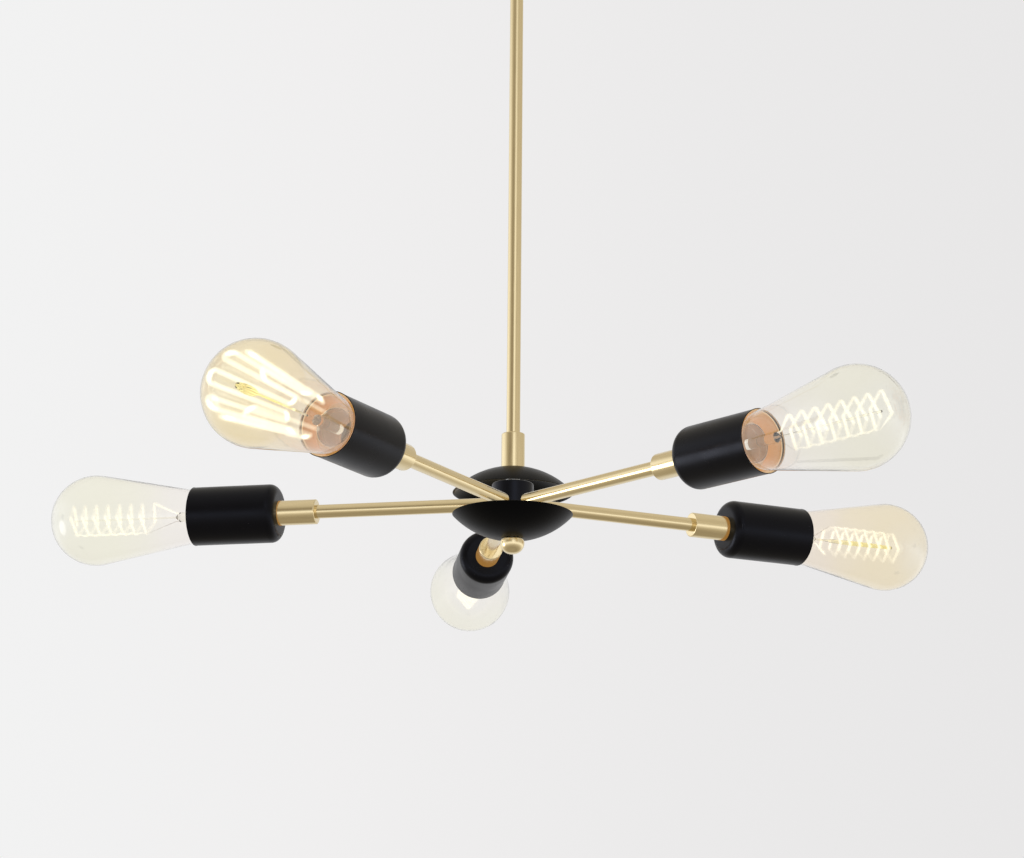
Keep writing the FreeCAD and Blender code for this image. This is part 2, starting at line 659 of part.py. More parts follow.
def glass_solid(wall):
    """Envelope set in by wall, as a solid: neck, round shoulder, straight cone, and a ball it runs into."""
    ball_centre = CUP_MOUTH + GLASS_TIP_REACH - GLASS_MAX_R
    to_centre = ball_centre - CUP_MOUTH
    sight = math.hypot(to_centre, GLASS_MOUTH_R)
    slope = math.asin(GLASS_MAX_R / sight) - math.asin(GLASS_MOUTH_R / sight)
    inward = (math.sin(slope), -math.cos(slope))
    run = CUP_MOUTH - GLASS_SHOULDER_START
    climb = GLASS_MOUTH_R - GLASS_NECK_R
    shoulder_r = -(run ** 2 + climb ** 2) / (2 * (run * inward[0] + climb * inward[1]))
    shoulder = (CUP_MOUTH + shoulder_r * inward[0], GLASS_MOUTH_R + shoulder_r * inward[1])

    neck_r = GLASS_NECK_R - wall
    bend_r = shoulder_r - wall
    ball_r = GLASS_MAX_R - wall
    neck_angle = math.pi - math.asin((neck_r - shoulder[1]) / bend_r)
    cone_angle = math.pi / 2 + slope
    middle = (neck_angle + cone_angle) / 2

    def on_shoulder(angle):
        return (shoulder[0] + bend_r * math.cos(angle), shoulder[1] + bend_r * math.sin(angle))

    neck_back = LAMP_CAP_FRONT - GLASS_NECK_INSIDE_CAP
    touch = (ball_centre - ball_r * inward[0], -ball_r * inward[1])
    half = cone_angle / 2
    return turned([
        (neck_back, 0),
        (neck_back, neck_r),
        on_shoulder(neck_angle),
        on_shoulder(middle) + on_shoulder(cone_angle),
        touch,
        (ball_centre + ball_r * math.cos(half), ball_r * math.sin(half), ball_centre + ball_r, 0),
    ], "X")


def lamp_glass():
    """Thin clear envelope, with the glass stem and its centre rod inside."""
    envelope = glass_solid(0).cut(glass_solid(GLASS_WALL))
    neck_back = LAMP_CAP_FRONT - GLASS_NECK_INSIDE_CAP
    stem = turned([
        (neck_back, 0),
        (neck_back, GLASS_NECK_R - GLASS_WALL),
        (neck_back + 1.2, GLASS_NECK_R - GLASS_WALL),
        (neck_back + 2.4, STEM_R + 1.5, neck_back + 6.0, STEM_R),
        (CUP_MOUTH + STEM_TOP_REACH - 2.0, STEM_R),
        (CUP_MOUTH + STEM_TOP_REACH, CANE_R),
        (CUP_MOUTH + CANE_TOP_REACH, CANE_R),
        (CUP_MOUTH + CANE_TOP_REACH, 0),
    ], "X")
    return Part.makeCompound([envelope, stem])


# ---- filaments, drawn along +X ----
def arc_leaving(start, way, end):
    """Arc from start to end that leaves start along the unit vector way."""
    chord = end - start
    rise = way - chord * (way.dot(chord) / chord.dot(chord))
    lift = chord.Length / 2 * math.tan(way.getAngle(chord) / 2)
    return Part.Arc(start, start + chord / 2 + rise.normalize() * lift, end).toShape()


def biarc(start, way_out, end, way_in):
    """Two arcs that touch: they leave start along way_out and reach end along way_in."""
    chord = end - start
    ways = way_out + way_in
    forward = chord.dot(ways)
    turn = 2 * (1 - way_out.dot(way_in))
    reach = chord.dot(chord) / (forward + math.sqrt(forward ** 2 + turn * chord.dot(chord)))
    middle = (start + end + (way_out - way_in) * reach) / 2
    way_middle = (chord - ways * reach).normalize()
    return [arc_leaving(start, way_out, middle), arc_leaving(middle, way_middle, end)]


def route(stations):
    """Lines and arcs through (point, direction) stations, with no corner anywhere."""
    edges = []
    for (start, way_out), (end, way_in) in zip(stations, stations[1:]):
        if way_out.cross(end - start).Length < 1e-6:
            edges.append(Part.makeLine(start, end))
        else:
            edges += biarc(start, way_out, end, way_in)
    return edges


def bent_wire(edges):
    """Square-section wire along a route that starts parallel to X."""
    start = edges[0].valueAt(edges[0].FirstParameter)
    half = FILAMENT_HALF_WIDTH
    signs = [(1, 1), (-1, 1), (-1, -1), (1, -1), (1, 1)]
    section = Part.makePolygon([start + Vector(0, half * a, half * b) for a, b in signs])
    return outward(Part.Wire(edges).makePipeShell([section], True, False))


def least_gap(edges):
    """Smallest clear distance between stretches of one wire that are not next to each other."""
    width = 2 * FILAMENT_HALF_WIDTH
    points = []
    run = 0.0
    for edge in edges:
        places = edge.discretize(10)
        points += [(run + edge.Length * step / 9, place) for step, place in enumerate(places[:-1])]
        run += edge.Length
    return min(one.distanceToPoint(other) - width
               for at, one in points for later, other in points if later - at > 6 * width)


def around(along, radius, azimuth):
    return Vector(along, radius * math.cos(azimuth), radius * math.sin(azimuth))


def lead_stations(azimuth, inward):
    """Where a filament's end runs straight in the glass stem; inward lists them going into the stem."""
    way = Vector(-1, 0, 0) if inward else Vector(1, 0, 0)
    root = CUP_MOUTH + STEM_TOP_REACH
    deep = (around(root - LEAD_DEPTH, LEAD_ROOT_R, azimuth), way)
    shallow = (around(root, LEAD_ROOT_R, azimuth), way)
    return [shallow, deep] if inward else [deep, shallow]


def spiral_route():
    """Lead out of the stem, open spiral round the centre rod, and a straight lead back along its outside."""
    quarters = 4 * SPIRAL_TURNS
    start = CUP_MOUTH + FILAMENT_START_REACH
    rise = (FILAMENT_END_REACH - FILAMENT_START_REACH) / quarters
    climb = rise / (math.pi / 2 * SPIRAL_RADIUS)
    back = math.radians(RETURN_LEAD_AZIMUTH)
    first = back - math.radians(RETURN_LEAD_LAG)
    stations = lead_stations(first, False)
    for quarter in range(quarters + 1):
        azimuth = first + math.pi / 2 * quarter
        way = Vector(climb, -math.sin(azimuth), math.cos(azimuth)).normalize()
        stations.append((around(start + rise * quarter, SPIRAL_RADIUS, azimuth), way))
    inwards = Vector(-1, 0, 0)
    stations.append((around(CUP_MOUTH + FILAMENT_END_REACH - 5, RETURN_LEAD_R, back), inwards))
    stations.append((around(start + 7, RETURN_LEAD_R, back), inwards))
    return route(stations + lead_stations(back, True))


def cage_route():
    """Straight legs that flare round the centre rod, joined at alternate ends by half turns."""
    legs = 2 * CAGE_LOOPS
    spread = 2 * math.pi / (legs + 1)
    half_gap = math.sin(spread / 2)
    near = CUP_MOUTH + CAGE_START_REACH + CAGE_NEAR_R * half_gap
    far = CUP_MOUTH + CAGE_END_REACH - CAGE_CROWN_R * half_gap
    stations = lead_stations(0, False)
    for leg in range(legs):
        ends = [around(near, CAGE_NEAR_R, spread * leg), around(far, CAGE_CROWN_R, spread * leg)]
        if leg % 2 == 1:
            ends.reverse()
        way = (ends[1] - ends[0]).normalize()
        stations += [(ends[0], way), (ends[1], way)]
    return route(stations + lead_stations(spread * (legs - 1), True))


def write_all():
    single = {
        "mounting_strap": mounting_strap,
        "canopy_studs": canopy_studs,
        "canopy": canopy,
        "canopy_cap_nuts": canopy_cap_nuts,
        "ground_screw": ground_screw,
        "canopy_nipple": canopy_nipple,
        "canopy_washer": canopy_washer,
        "canopy_locknut": canopy_locknut,
        "swivel_fork": swivel_fork,
        "swivel_barrel": swivel_barrel,
        "pivot_screws": pivot_screws,
        "down_rod": down_rod,
        "rod_collar": rod_collar,
        "hub_body": hub_body,
        "hub_nipples": hub_nipples,
        "dish_locknuts": dish_locknuts,
        "finial": finial,
    }
    for node, make in single.items():
        save(make(), node)
    save(dish(+1), "upper_dish")
    save(dish(-1), "lower_dish")
    on_all_arms = {
        "cup_nipples": cup_nipple,
        "lamp_holders": lamp_holder,
        "screw_shells": screw_shell,
        "centre_contacts": centre_contact,
    }
    for node, make in on_all_arms.items():
        save(on_every_arm(make()), node)
    on_each_arm = {
        "arm": arm(),
        "socket_collar": socket_collar(),
        "socket_cup": socket_cup(),
        "lamp_tip": lamp_tip(),
        "lamp_cap": lamp_cap(),
        "lamp_glass": lamp_glass(),
    }
    routes = {"spiral": spiral_route(), "cage": cage_route()}
    filaments = {name: bent_wire(edges) for name, edges in routes.items()}
    for index in range(ARM_COUNT):
        number = index + 1
        for node, shape in on_each_arm.items():
            save(on_arm(shape, index), "%s_%d" % (node, number))
        filament = filaments["cage" if number == CAGE_LAMP else "spiral"]
        save(on_arm(filament, index), "lamp_filament_%d" % number)
    for name, edges in routes.items():
        length = sum(edge.Length for edge in edges)
        section = (2 * FILAMENT_HALF_WIDTH) ** 2
        print(name, "filament: least gap", round(least_gap(edges), 2), "mm, length", round(length, 1),
              "mm, volume over section times length", round(filaments[name].Volume / (section * length), 3))


write_all()
print("arm plane at z", round(HUB_Z, 2), "cup mouth at", CUP_MOUTH, "crown at", CUP_MOUTH + GLASS_TIP_REACH)
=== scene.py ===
# %% [markdown]
# # A sputnik chandelier, dressed for its picture
# The construction of this ceiling light is already fixed: every tube, cup and screw has its size and its place.
# This lesson gives it the look of the real one.  Brass tubes run level from a black hub between black dishes,
# and each one ends in a black cup with a large clear lamp.  We load the fixed model, set the camera, and then
# take the pieces one family at a time, from the light and the metal to the glowing wire.

import json
import math

import bmesh
import bpy
from mathutils import Matrix, Vector


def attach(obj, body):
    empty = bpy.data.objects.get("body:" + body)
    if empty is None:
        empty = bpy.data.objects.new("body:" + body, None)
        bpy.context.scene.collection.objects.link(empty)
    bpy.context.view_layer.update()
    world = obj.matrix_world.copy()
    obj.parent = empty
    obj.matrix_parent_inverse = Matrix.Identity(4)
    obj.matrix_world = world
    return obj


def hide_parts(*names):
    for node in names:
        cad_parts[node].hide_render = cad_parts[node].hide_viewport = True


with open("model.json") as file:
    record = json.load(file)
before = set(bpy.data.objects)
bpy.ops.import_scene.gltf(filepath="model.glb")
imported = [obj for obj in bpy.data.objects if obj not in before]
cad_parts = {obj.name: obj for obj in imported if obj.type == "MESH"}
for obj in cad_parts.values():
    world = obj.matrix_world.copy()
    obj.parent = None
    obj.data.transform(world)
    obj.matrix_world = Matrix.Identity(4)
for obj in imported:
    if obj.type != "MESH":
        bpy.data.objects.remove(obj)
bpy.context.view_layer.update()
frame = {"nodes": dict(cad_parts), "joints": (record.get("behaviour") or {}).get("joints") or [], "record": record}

# %% [markdown]
# The joints of the model say where things are.  Each lamp screws in and out along its own arm, so the axis of
# its joint is also the line of the arm.  Everything that is turned on a lathe can then be measured along such
# a line: where it starts, where it ends, and how far it reaches from the line.

# %% Axes and measuring
MM = 0.001
joints = {joint["name"]: joint for joint in frame["joints"]}
LAMPS = [name.split("_")[1] for name in joints if name.endswith("_turn")]
ROD_AXIS = (Vector((0, 0, 0)), Vector((0, 0, 1)))
ARM_AXES = {}
for lamp in LAMPS:
    turn = joints["lamp_%s_turn" % lamp]
    ARM_AXES[lamp] = (Vector(turn["pos_m"]), Vector(turn["axis"]))
HUB = ARM_AXES[LAMPS[0]][0]


def measure(node, axis):
    """(start, end, inner radius, outer radius) of a node of the model about an axis, in metres."""
    origin, way = axis
    places = [v.co - origin for v in frame["nodes"][node].data.vertices]
    along = [place.dot(way) for place in places]
    radii = [(place - way * place.dot(way)).length for place in places]
    return min(along), max(along), min(radii), max(radii)


FIRST = LAMPS[0]
FIRST_AXIS = ARM_AXES[FIRST]
cup_back, cup_mouth, _, cup_r = measure("socket_cup_" + FIRST, FIRST_AXIS)
print("cups run from %.1f to %.1f mm, %.1f mm across" % (cup_back / MM, cup_mouth / MM, 2 * cup_r / MM))

# %% [markdown]
# ## The camera
# The camera comes first, because every later choice is judged through it.  It stands well back and below the
# arms and looks slightly up, which is how a hanging light is met in a room.  Its place was found by matching
# the ends of the arms, cups and dishes, and it is written as a distance, an angle below the hub, and three
# small turns.  The picture is 1024 by 858 pixels, and the focal length in pixels gives the lens.

# %% Place the camera
PICTURE_WIDTH = 1024
FOCAL_PIXELS = 2309.09
SENSOR_MM = 36.0
CAMERA_DISTANCE = 1.58206
CAMERA_BELOW_HUB = 0.24041
CAMERA_PITCH = 0.27281
CAMERA_YAW = -0.00057
CAMERA_ROLL = 0.00834

camera_data = bpy.data.cameras.new("photo_camera")
camera = bpy.data.objects.new("photo_camera", camera_data)
bpy.context.scene.collection.objects.link(camera)
bpy.context.scene.camera = camera
camera_data.sensor_width = SENSOR_MM
camera_data.lens = FOCAL_PIXELS / PICTURE_WIDTH * SENSOR_MM
camera_data.clip_end = 50

forward = Vector((math.sin(CAMERA_YAW) * math.cos(CAMERA_PITCH),
                  math.cos(CAMERA_YAW) * math.cos(CAMERA_PITCH),
                  math.sin(CAMERA_PITCH)))
level = forward.cross(Vector((0, 0, 1))).normalized()
upright = level.cross(forward)
right = level * math.cos(CAMERA_ROLL) + upright * math.sin(CAMERA_ROLL)
up = upright * math.cos(CAMERA_ROLL) - level * math.sin(CAMERA_ROLL)
stand = Vector((0, -math.cos(CAMERA_BELOW_HUB), -math.sin(CAMERA_BELOW_HUB))) * CAMERA_DISTANCE
camera.matrix_world = (Matrix.Translation(HUB + stand)
                       @ Matrix((right, up, -forward)).transposed().to_4x4())
print("camera at", [round(x, 3) for x in camera.matrix_world.translation], "lens", round(camera_data.lens, 2))

# %% [markdown]
# ## Colours and nodes
# Colours are picked as they look on a screen, as hex values, and the renderer works in linear light, so one
# function turns the one into the other.  A second function adds a node to any tree with its settings and its
# links, for surfaces and for shape-making trees alike.

# %% Two helpers
def linear(hex_colour, alpha=1.0):
    channels = [int(hex_colour[i:i + 2], 16) / 255 for i in (1, 3, 5)]
    return tuple(c / 12.92 if c <= 0.04045 else ((c + 0.055) / 1.055) ** 2.4 for c in channels) + (alpha,)


def add(tree, kind, inputs=None, **settings):
    """One node. An input is named or numbered, and gets a value or the socket of another node."""
    node = tree.nodes.new(kind)
    for name, value in settings.items():
        setattr(node, name, value)
    for key, value in (inputs or {}).items():
        if isinstance(value, bpy.types.NodeSocket):
            tree.links.new(value, node.inputs[key])
        else:
            node.inputs[key].default_value = value
    return node


def new_material(name):
    material = bpy.data.materials.new(name)
    material.use_nodes = True
    material.node_tree.nodes.clear()
    return material, material.node_tree


def show(tree, shader):
    add(tree, "ShaderNodeOutputMaterial", {"Surface": shader})


# %% [markdown]
# ## The studio
# Polished things show the room around them, so the room matters more than any lamp.  The reflections in the
# brass tell what stood there.  Seen by height, there is a pale band just under the horizon, a mid grey wall over
# it and a darker floor.  Seen around the horizon, one narrow bright window stands a little to the right of the
# camera, a dark stretch to its left, and a broad bright wall far to the left.  One ramp of levels holds each of
# the two, and a third says how much the second counts at each height.  Dim levels are tinted a little warm.  One
# soft bright patch is the window that shines on the left side of the lamps.  Behind the object hangs the plain
# pale backdrop, a little lighter to the left.  The camera and every ray that has gone through glass see nothing
# else.

# %% Describe the room
BACKDROP = "#EEEDED"
BACKDROP_ACROSS = [(-0.22, "#F2F2F2"), (-0.08, "#F0EFEF"), (0.08, "#EBEAEA"), (0.22, "#E8E7E7")]
ROOM_BY_HEIGHT = [(-90, 0.44), (-58, 0.40), (-40, 0.50), (-28, 0.66), (-18, 0.95), (-8, 1.35), (0, 1.25),
                  (7, 0.70), (22, 0.58), (57, 0.73), (90, 0.80)]
ROOM_ROUND_HORIZON = [(-180, 1.0), (-125, 1.32), (-97, 1.25), (-84, 1.08), (-71, 0.84), (-56, 0.50), (-36, 0.33),
                      (-20, 0.35), (-6, 0.62), (4, 1.30), (14, 1.35), (26, 0.88), (40, 0.67), (60, 0.73),
                      (120, 0.66), (180, 1.0)]
HORIZON_SHARE = [(-8, 0.0), (5, 0.7), (14, 1.0), (24, 0.7), (34, 0.15), (42, 0.0)]
ROOM_STRENGTH = 0.92
BACKDROP_BEGINS, BACKDROP_FULL = 0.55, 0.9      # by how far a direction points away from the camera
WHITE_LEVEL, WARM_SPAN = 1.2, 0.78              # from this level down over this span, the shade turns warm
GREEN_LOSS, BLUE_LOSS = 0.11, 0.30              # what the warmest shade lacks
WINDOW_AZIMUTH, WINDOW_HEIGHT, WINDOW_STRENGTH = -93, -12, 3.0
WINDOW_EDGE, WINDOW_CORE = 15, 7                # degrees from its middle, where it fades out and where it is full


def warm_shade(level):
    """The dim parts of the room are wood and warm walls, the bright parts are white."""
    dim = min(max((WHITE_LEVEL - level) / WARM_SPAN, 0.0), 1.0)
    return (level, level * (1 - GREEN_LOSS * dim), level * (1 - BLUE_LOSS * dim), 1.0)


world = bpy.data.worlds.new("pale_room")
bpy.context.scene.world = world
world.use_nodes = True
room = world.node_tree
room.nodes.clear()
bpy.context.scene.view_settings.view_transform = "Standard"


def profile(tree, value, stops):
    """A colour ramp stretched over its stops, each one (place, colour as hex or as four numbers)."""
    low, high = stops[0][0], stops[-1][0]
    place = add(tree, "ShaderNodeMapRange", {"Value": value, "From Min": low, "From Max": high})
    ramp = add(tree, "ShaderNodeValToRGB", {"Fac": place.outputs[0]})
    elements = ramp.color_ramp.elements
    elements.remove(elements[1])
    for index, (at, shade) in enumerate(stops):
        element = elements[0] if index == 0 else elements.new((at - low) / (high - low))
        element.position = (at - low) / (high - low)
        element.color = linear(shade) if isinstance(shade, str) else shade
    return ramp.outputs["Color"]


def room_profile(value, stops):
    return profile(room, value, [(at, warm_shade(level)) for at, level in stops])


def level_profile(tree, value, stops):
    return profile(tree, value, [(at, (level, level, level, 1.0)) for at, level in stops])


# %% Light the room
direction = add(room, "ShaderNodeTexCoord").outputs["Generated"]
compass = add(room, "ShaderNodeSeparateXYZ", {0: direction})
to_camera = add(room, "ShaderNodeMath", {0: compass.outputs["Y"], 1: -1.0}, operation="MULTIPLY")
around_room = add(room, "ShaderNodeMath", {0: compass.outputs["X"], 1: to_camera.outputs[0]},
                  operation="ARCTAN2")
around_room = add(room, "ShaderNodeMath", {0: around_room.outputs[0], 1: math.degrees(1)}, operation="MULTIPLY")
height_seen = add(room, "ShaderNodeMath", {0: compass.outputs["Z"]}, operation="ARCSINE")
height_seen = add(room, "ShaderNodeMath", {0: height_seen.outputs[0], 1: math.degrees(1)}, operation="MULTIPLY")
share = level_profile(room, height_seen.outputs[0], HORIZON_SHARE)
walls = add(room, "ShaderNodeMix", {0: share, 6: room_profile(height_seen.outputs[0], ROOM_BY_HEIGHT),
                                    7: room_profile(around_room.outputs[0], ROOM_ROUND_HORIZON)},
            data_type="RGBA")
behind = add(room, "ShaderNodeMapRange",
             {"Value": compass.outputs["Y"], "From Min": BACKDROP_BEGINS, "From Max": BACKDROP_FULL},
             interpolation_type="SMOOTHSTEP")
walls = add(room, "ShaderNodeMix", {0: behind.outputs[0], 6: walls.outputs[2], 7: linear(BACKDROP)},
            data_type="RGBA")
azimuth, tilt = math.radians(WINDOW_AZIMUTH), math.radians(WINDOW_HEIGHT)
window_way = (math.sin(azimuth) * math.cos(tilt), -math.cos(azimuth) * math.cos(tilt), math.sin(tilt))
nearness = add(room, "ShaderNodeVectorMath", {0: direction, 1: window_way}, operation="DOT_PRODUCT")
window_light = add(room, "ShaderNodeMapRange",
                   {"Value": nearness.outputs["Value"], "From Min": math.cos(math.radians(WINDOW_EDGE)),
                    "From Max": math.cos(math.radians(WINDOW_CORE)), "To Max": WINDOW_STRENGTH},
                   interpolation_type="SMOOTHSTEP")
rays = add(room, "ShaderNodeLightPath")
through_glass = add(room, "ShaderNodeMath", {0: rays.outputs["Transmission Depth"], 1: 0.5},
                    operation="GREATER_THAN")
backdrop_seen = add(room, "ShaderNodeMath", {0: rays.outputs["Is Camera Ray"], 1: through_glass.outputs[0]},
                    operation="MAXIMUM")
room_light = add(room, "ShaderNodeBackground", {"Color": walls.outputs[2], "Strength": ROOM_STRENGTH})
patch_light = add(room, "ShaderNodeBackground",
                  {"Color": linear("#FFFFFF"), "Strength": window_light.outputs[0]})
all_light = add(room, "ShaderNodeAddShader", {0: room_light.outputs[0], 1: patch_light.outputs[0]})
backdrop = add(room, "ShaderNodeBackground",
               {"Color": profile(room, compass.outputs["X"], BACKDROP_ACROSS), "Strength": 1.0})
mixed = add(room, "ShaderNodeMixShader",
            {0: backdrop_seen.outputs[0], 1: all_light.outputs[0], 2: backdrop.outputs[0]})
add(room, "ShaderNodeOutputWorld", {"Surface": mixed.outputs[0]})
print("the bright window lies along", [round(x, 2) for x in window_way])

# %% [markdown]
# The floor is only there to catch a soft shadow.  It lies well under the lamps and is the colour of the
# backdrop.  The camera sees it lifted to the
# backdrop's paleness.  Reflections pass it by and reach the room below, as they would in a tall white studio.

# %% Lay the floor
FLOOR_BELOW_HUB = 0.75
FLOOR_SIZE = 30.0
FLOOR_LIFT = 0.78           # light added where the camera sees the floor

floor_mesh = bpy.data.meshes.new("floor")
half = FLOOR_SIZE / 2
floor_z = HUB.z - FLOOR_BELOW_HUB
corners = [(-half, -half, floor_z), (half, -half, floor_z), (half, half, floor_z), (-half, half, floor_z)]
floor_mesh.from_pydata(corners, [], [(0, 1, 2, 3)])
floor = bpy.data.objects.new("floor", floor_mesh)
bpy.context.scene.collection.objects.link(floor)
floor.visible_glossy = False
floor_paint, tree = new_material("pale_floor_paint")
rays = add(tree, "ShaderNodeLightPath")
seen = add(tree, "ShaderNodeMath", {0: rays.outputs["Is Camera Ray"], 1: rays.outputs["Is Transmission Ray"]},
           operation="MAXIMUM")
paint = add(tree, "ShaderNodeBsdfPrincipled", {"Base Color": linear(BACKDROP), "Roughness": 0.8})
shadow_paint = add(tree, "ShaderNodeBsdfPrincipled", {"Base Color": linear("#8A8A8A"), "Roughness": 0.8})
lift = add(tree, "ShaderNodeEmission", {"Color": linear(BACKDROP), "Strength": FLOOR_LIFT})
lifted = add(tree, "ShaderNodeAddShader", {0: shadow_paint.outputs[0], 1: lift.outputs[0]})
floor_look = add(tree, "ShaderNodeMixShader", {0: seen.outputs[0], 1: paint.outputs[0], 2: lifted.outputs[0]})
show(tree, floor_look.outputs[0])
floor_mesh.materials.append(floor_paint)
print("floor at", round(floor_z, 3))

# %% [markdown]
# ## Metal and coatings
# The tubes are drawn brass, brushed along their length and lacquered.  Brushing leaves fine lines, so the
# light spreads more across them than along them, and the eye reads a soft satin with straight bands.  The
# lines follow the piece, so they are drawn on its own unrolled surface: across the first direction of its UV
# map they are close together, and along the second they are long.  The bare metal inside the cups and the caps
# of the lamps also give off a little light of their own, which stands for the glow of the lamps on them.

# %% Satin brass
UNROLLED = "unrolled"
BRUSH_SPACING_MM = 0.35     # finer in truth, drawn this coarse so that it shows
BRUSH_LENGTH_MM = 14.0


def brass(name, colour, roughness, brush_depth, lamplight=0.0, lamp_colour="#D9853A"):
    material, tree = new_material(name)
    place = add(tree, "ShaderNodeUVMap", uv_map=UNROLLED)
    lines_scale = (1 / (BRUSH_SPACING_MM * MM), 1 / (BRUSH_LENGTH_MM * MM), 1.0)
    stretched = add(tree, "ShaderNodeMapping", {"Vector": place.outputs[0], "Scale": lines_scale})
    lines = add(tree, "ShaderNodeTexNoise", {"Vector": stretched.outputs[0], "Scale": 1.0, "Detail": 2.0})
    gloss = add(tree, "ShaderNodeMapRange", {"Value": lines.outputs["Fac"], "From Min": 0.3, "From Max": 0.7,
                                             "To Min": roughness - 0.05, "To Max": roughness + 0.06})
    tone = add(tree, "ShaderNodeMapRange", {"Value": lines.outputs["Fac"], "From Min": 0.3, "From Max": 0.7,
                                            "To Min": 0.94, "To Max": 1.04})
    shade = add(tree, "ShaderNodeMix", {0: 1.0, 6: linear(colour), 7: tone.outputs[0]},
                data_type="RGBA", blend_type="MULTIPLY")
    relief = add(tree, "ShaderNodeBump", {"Height": lines.outputs["Fac"], "Strength": brush_depth,
                                          "Distance": 0.02 * MM})
    metal = add(tree, "ShaderNodeBsdfPrincipled",
                {"Base Color": shade.outputs[2], "Metallic": 1.0, "Roughness": gloss.outputs[0],
                 "Normal": relief.outputs[0], "Emission Color": linear(lamp_colour),
                 "Emission Strength": lamplight})
    show(tree, metal.outputs[0])
    return material


satin_brass = brass("satin_brass_lacquered", "#EFDEB4", 0.15, 0.25)
# The caps and the bare insides of the cups give off a little warm emission: painted glow of the lamps on them.
cap_brass = brass("rolled_cap_brass", "#C8AE90", 0.45, 0.1, lamplight=0.30, lamp_colour="#D8B89C")
bare_brass_painted_glow = brass("bare_spun_brass", "#E8D4B0", 0.34, 0.3, lamplight=0.24, lamp_colour="#D8944C")

# %% [markdown]
# The dishes, the hub and the cups are steel and aluminium with a satin black powder coat.  The powder melts
# into a thin skin with a very fine orange peel, so the surface is deep black face on and goes grey where it
# turns away and mirrors the pale room.  The same skin does for the black moulded lamp holders, painted tan and
# given a little emission as painted glow of the lamps on them, and in green for the ground screw.

# %% Black powder coat
PEEL_MM = 0.45
PATCH_MM = 18


def coated(name, colour, roughness, peel_depth, mirror=0.5, lamplight=0.0, lamp_colour="#DCA860"):
    material, tree = new_material(name)
    place = add(tree, "ShaderNodeTexCoord")
    peel = add(tree, "ShaderNodeTexNoise", {"Vector": place.outputs["Object"], "Scale": 1 / (PEEL_MM * MM),
                                            "Detail": 2.0})
    patches = add(tree, "ShaderNodeTexNoise", {"Vector": place.outputs["Object"], "Scale": 1 / (PATCH_MM * MM),
                                               "Detail": 3.0})
    gloss = add(tree, "ShaderNodeMapRange", {"Value": patches.outputs["Fac"], "From Min": 0.3, "From Max": 0.7,
                                             "To Min": roughness - 0.04, "To Max": roughness + 0.04})
    relief = add(tree, "ShaderNodeBump", {"Height": peel.outputs["Fac"], "Strength": peel_depth,
                                          "Distance": 0.02 * MM})
    skin = add(tree, "ShaderNodeBsdfPrincipled",
               {"Base Color": linear(colour), "Roughness": gloss.outputs[0], "IOR": 1.5,
                "Specular IOR Level": mirror, "Specular Tint": linear("#DCE4FF"), "Normal": relief.outputs[0],
                "Emission Color": linear(lamp_colour), "Emission Strength": lamplight})
    show(tree, skin.outputs[0])
    return material


black_coat = coated("satin_black_powder_coat", "#070609", 0.30, 0.2, 0.20)
dish_coat = coated("deep_black_powder_coat", "#030303", 0.34, 0.2, 0.10)
hub_coat = coated("blue_black_hub_coat", "#090B14", 0.32, 0.2, 0.30)
# The holders are black phenolic: their tan colour and their emission are painted glow of the lamps.
phenolic = coated("tan_moulded_phenolic", "#B08A58", 0.45, 0.15, lamplight=0.45)
ground_green = coated("green_passivated_steel", "#2C6B3A", 0.35, 0.1)

# %% [markdown]
# The nuts, nipples and the strap are zinc-plated steel, and the screw shells nickel-plated.  Both are seen only
# from close by, so one plain metal with cloudy gloss does for each.

# %% Plated metals
CLOUD_MM = 3


def plated(name, colour, roughness):
    material, tree = new_material(name)
    place = add(tree, "ShaderNodeTexCoord")
    cloud = add(tree, "ShaderNodeTexNoise", {"Vector": place.outputs["Object"], "Scale": 1 / (CLOUD_MM * MM),
                                             "Detail": 4.0})
    gloss = add(tree, "ShaderNodeMapRange", {"Value": cloud.outputs["Fac"], "From Min": 0.3, "From Max": 0.7,
                                             "To Min": roughness - 0.08, "To Max": roughness + 0.08})
    metal = add(tree, "ShaderNodeBsdfPrincipled",
                {"Base Color": linear(colour), "Metallic": 1.0, "Roughness": gloss.outputs[0]})
    show(tree, metal.outputs[0])
    return material


zinc = plated("bright_zinc_plate", "#B9BCC0", 0.32)
nickel = plated("nickel_plate", "#C4BEB2", 0.25)
spring_brass = plated("rolled_spring_brass", "#C9A864", 0.3)
tinned = plated("tinned_contact", "#A9A9A6", 0.35)

# %% [markdown]
# ## The lathe
# Nearly every piece of this light was made on a lathe or spun over a form, so the lesson has one too.  An
# outline is a closed list of steps, each one (distance along the axis, radius).  A step with four numbers is
# an arc: it passes through its first pair and ends at its second.  The lathe turns the outline into rings,
# joins the rings, and unrolls the surface into a UV map in metres for the brushing.

# %% Build the lathe
ARC_STEPS = 10


def arc_points(start, middle, end, steps=ARC_STEPS):
    (ax, ay), (bx, by), (cx, cy) = start, middle, end
    d = 2 * (ax * (by - cy) + bx * (cy - ay) + cx * (ay - by))
    aa, bb, cc = ax * ax + ay * ay, bx * bx + by * by, cx * cx + cy * cy
    ux = (aa * (by - cy) + bb * (cy - ay) + cc * (ay - by)) / d
    uy = (aa * (cx - bx) + bb * (ax - cx) + cc * (bx - ax)) / d
    radius = math.hypot(ax - ux, ay - uy)
    first, halfway, last = (math.atan2(y - uy, x - ux) for x, y in (start, middle, end))
    sweep = (last - first) % (2 * math.pi)
    if (halfway - first) % (2 * math.pi) > sweep:
        sweep -= 2 * math.pi
    angles = [first + sweep * k / steps for k in range(1, steps + 1)]
    return [(ux + radius * math.cos(angle), uy + radius * math.sin(angle)) for angle in angles]


def steps_to_points(outline, steps=ARC_STEPS):
    points = [outline[0]]
    for step in outline[1:]:
        if len(step) == 4:
            points += arc_points(points[-1], step[:2], step[2:], steps)
        else:
            points.append(step)
    return [(along, max(radius, 0.0)) for along, radius in points]


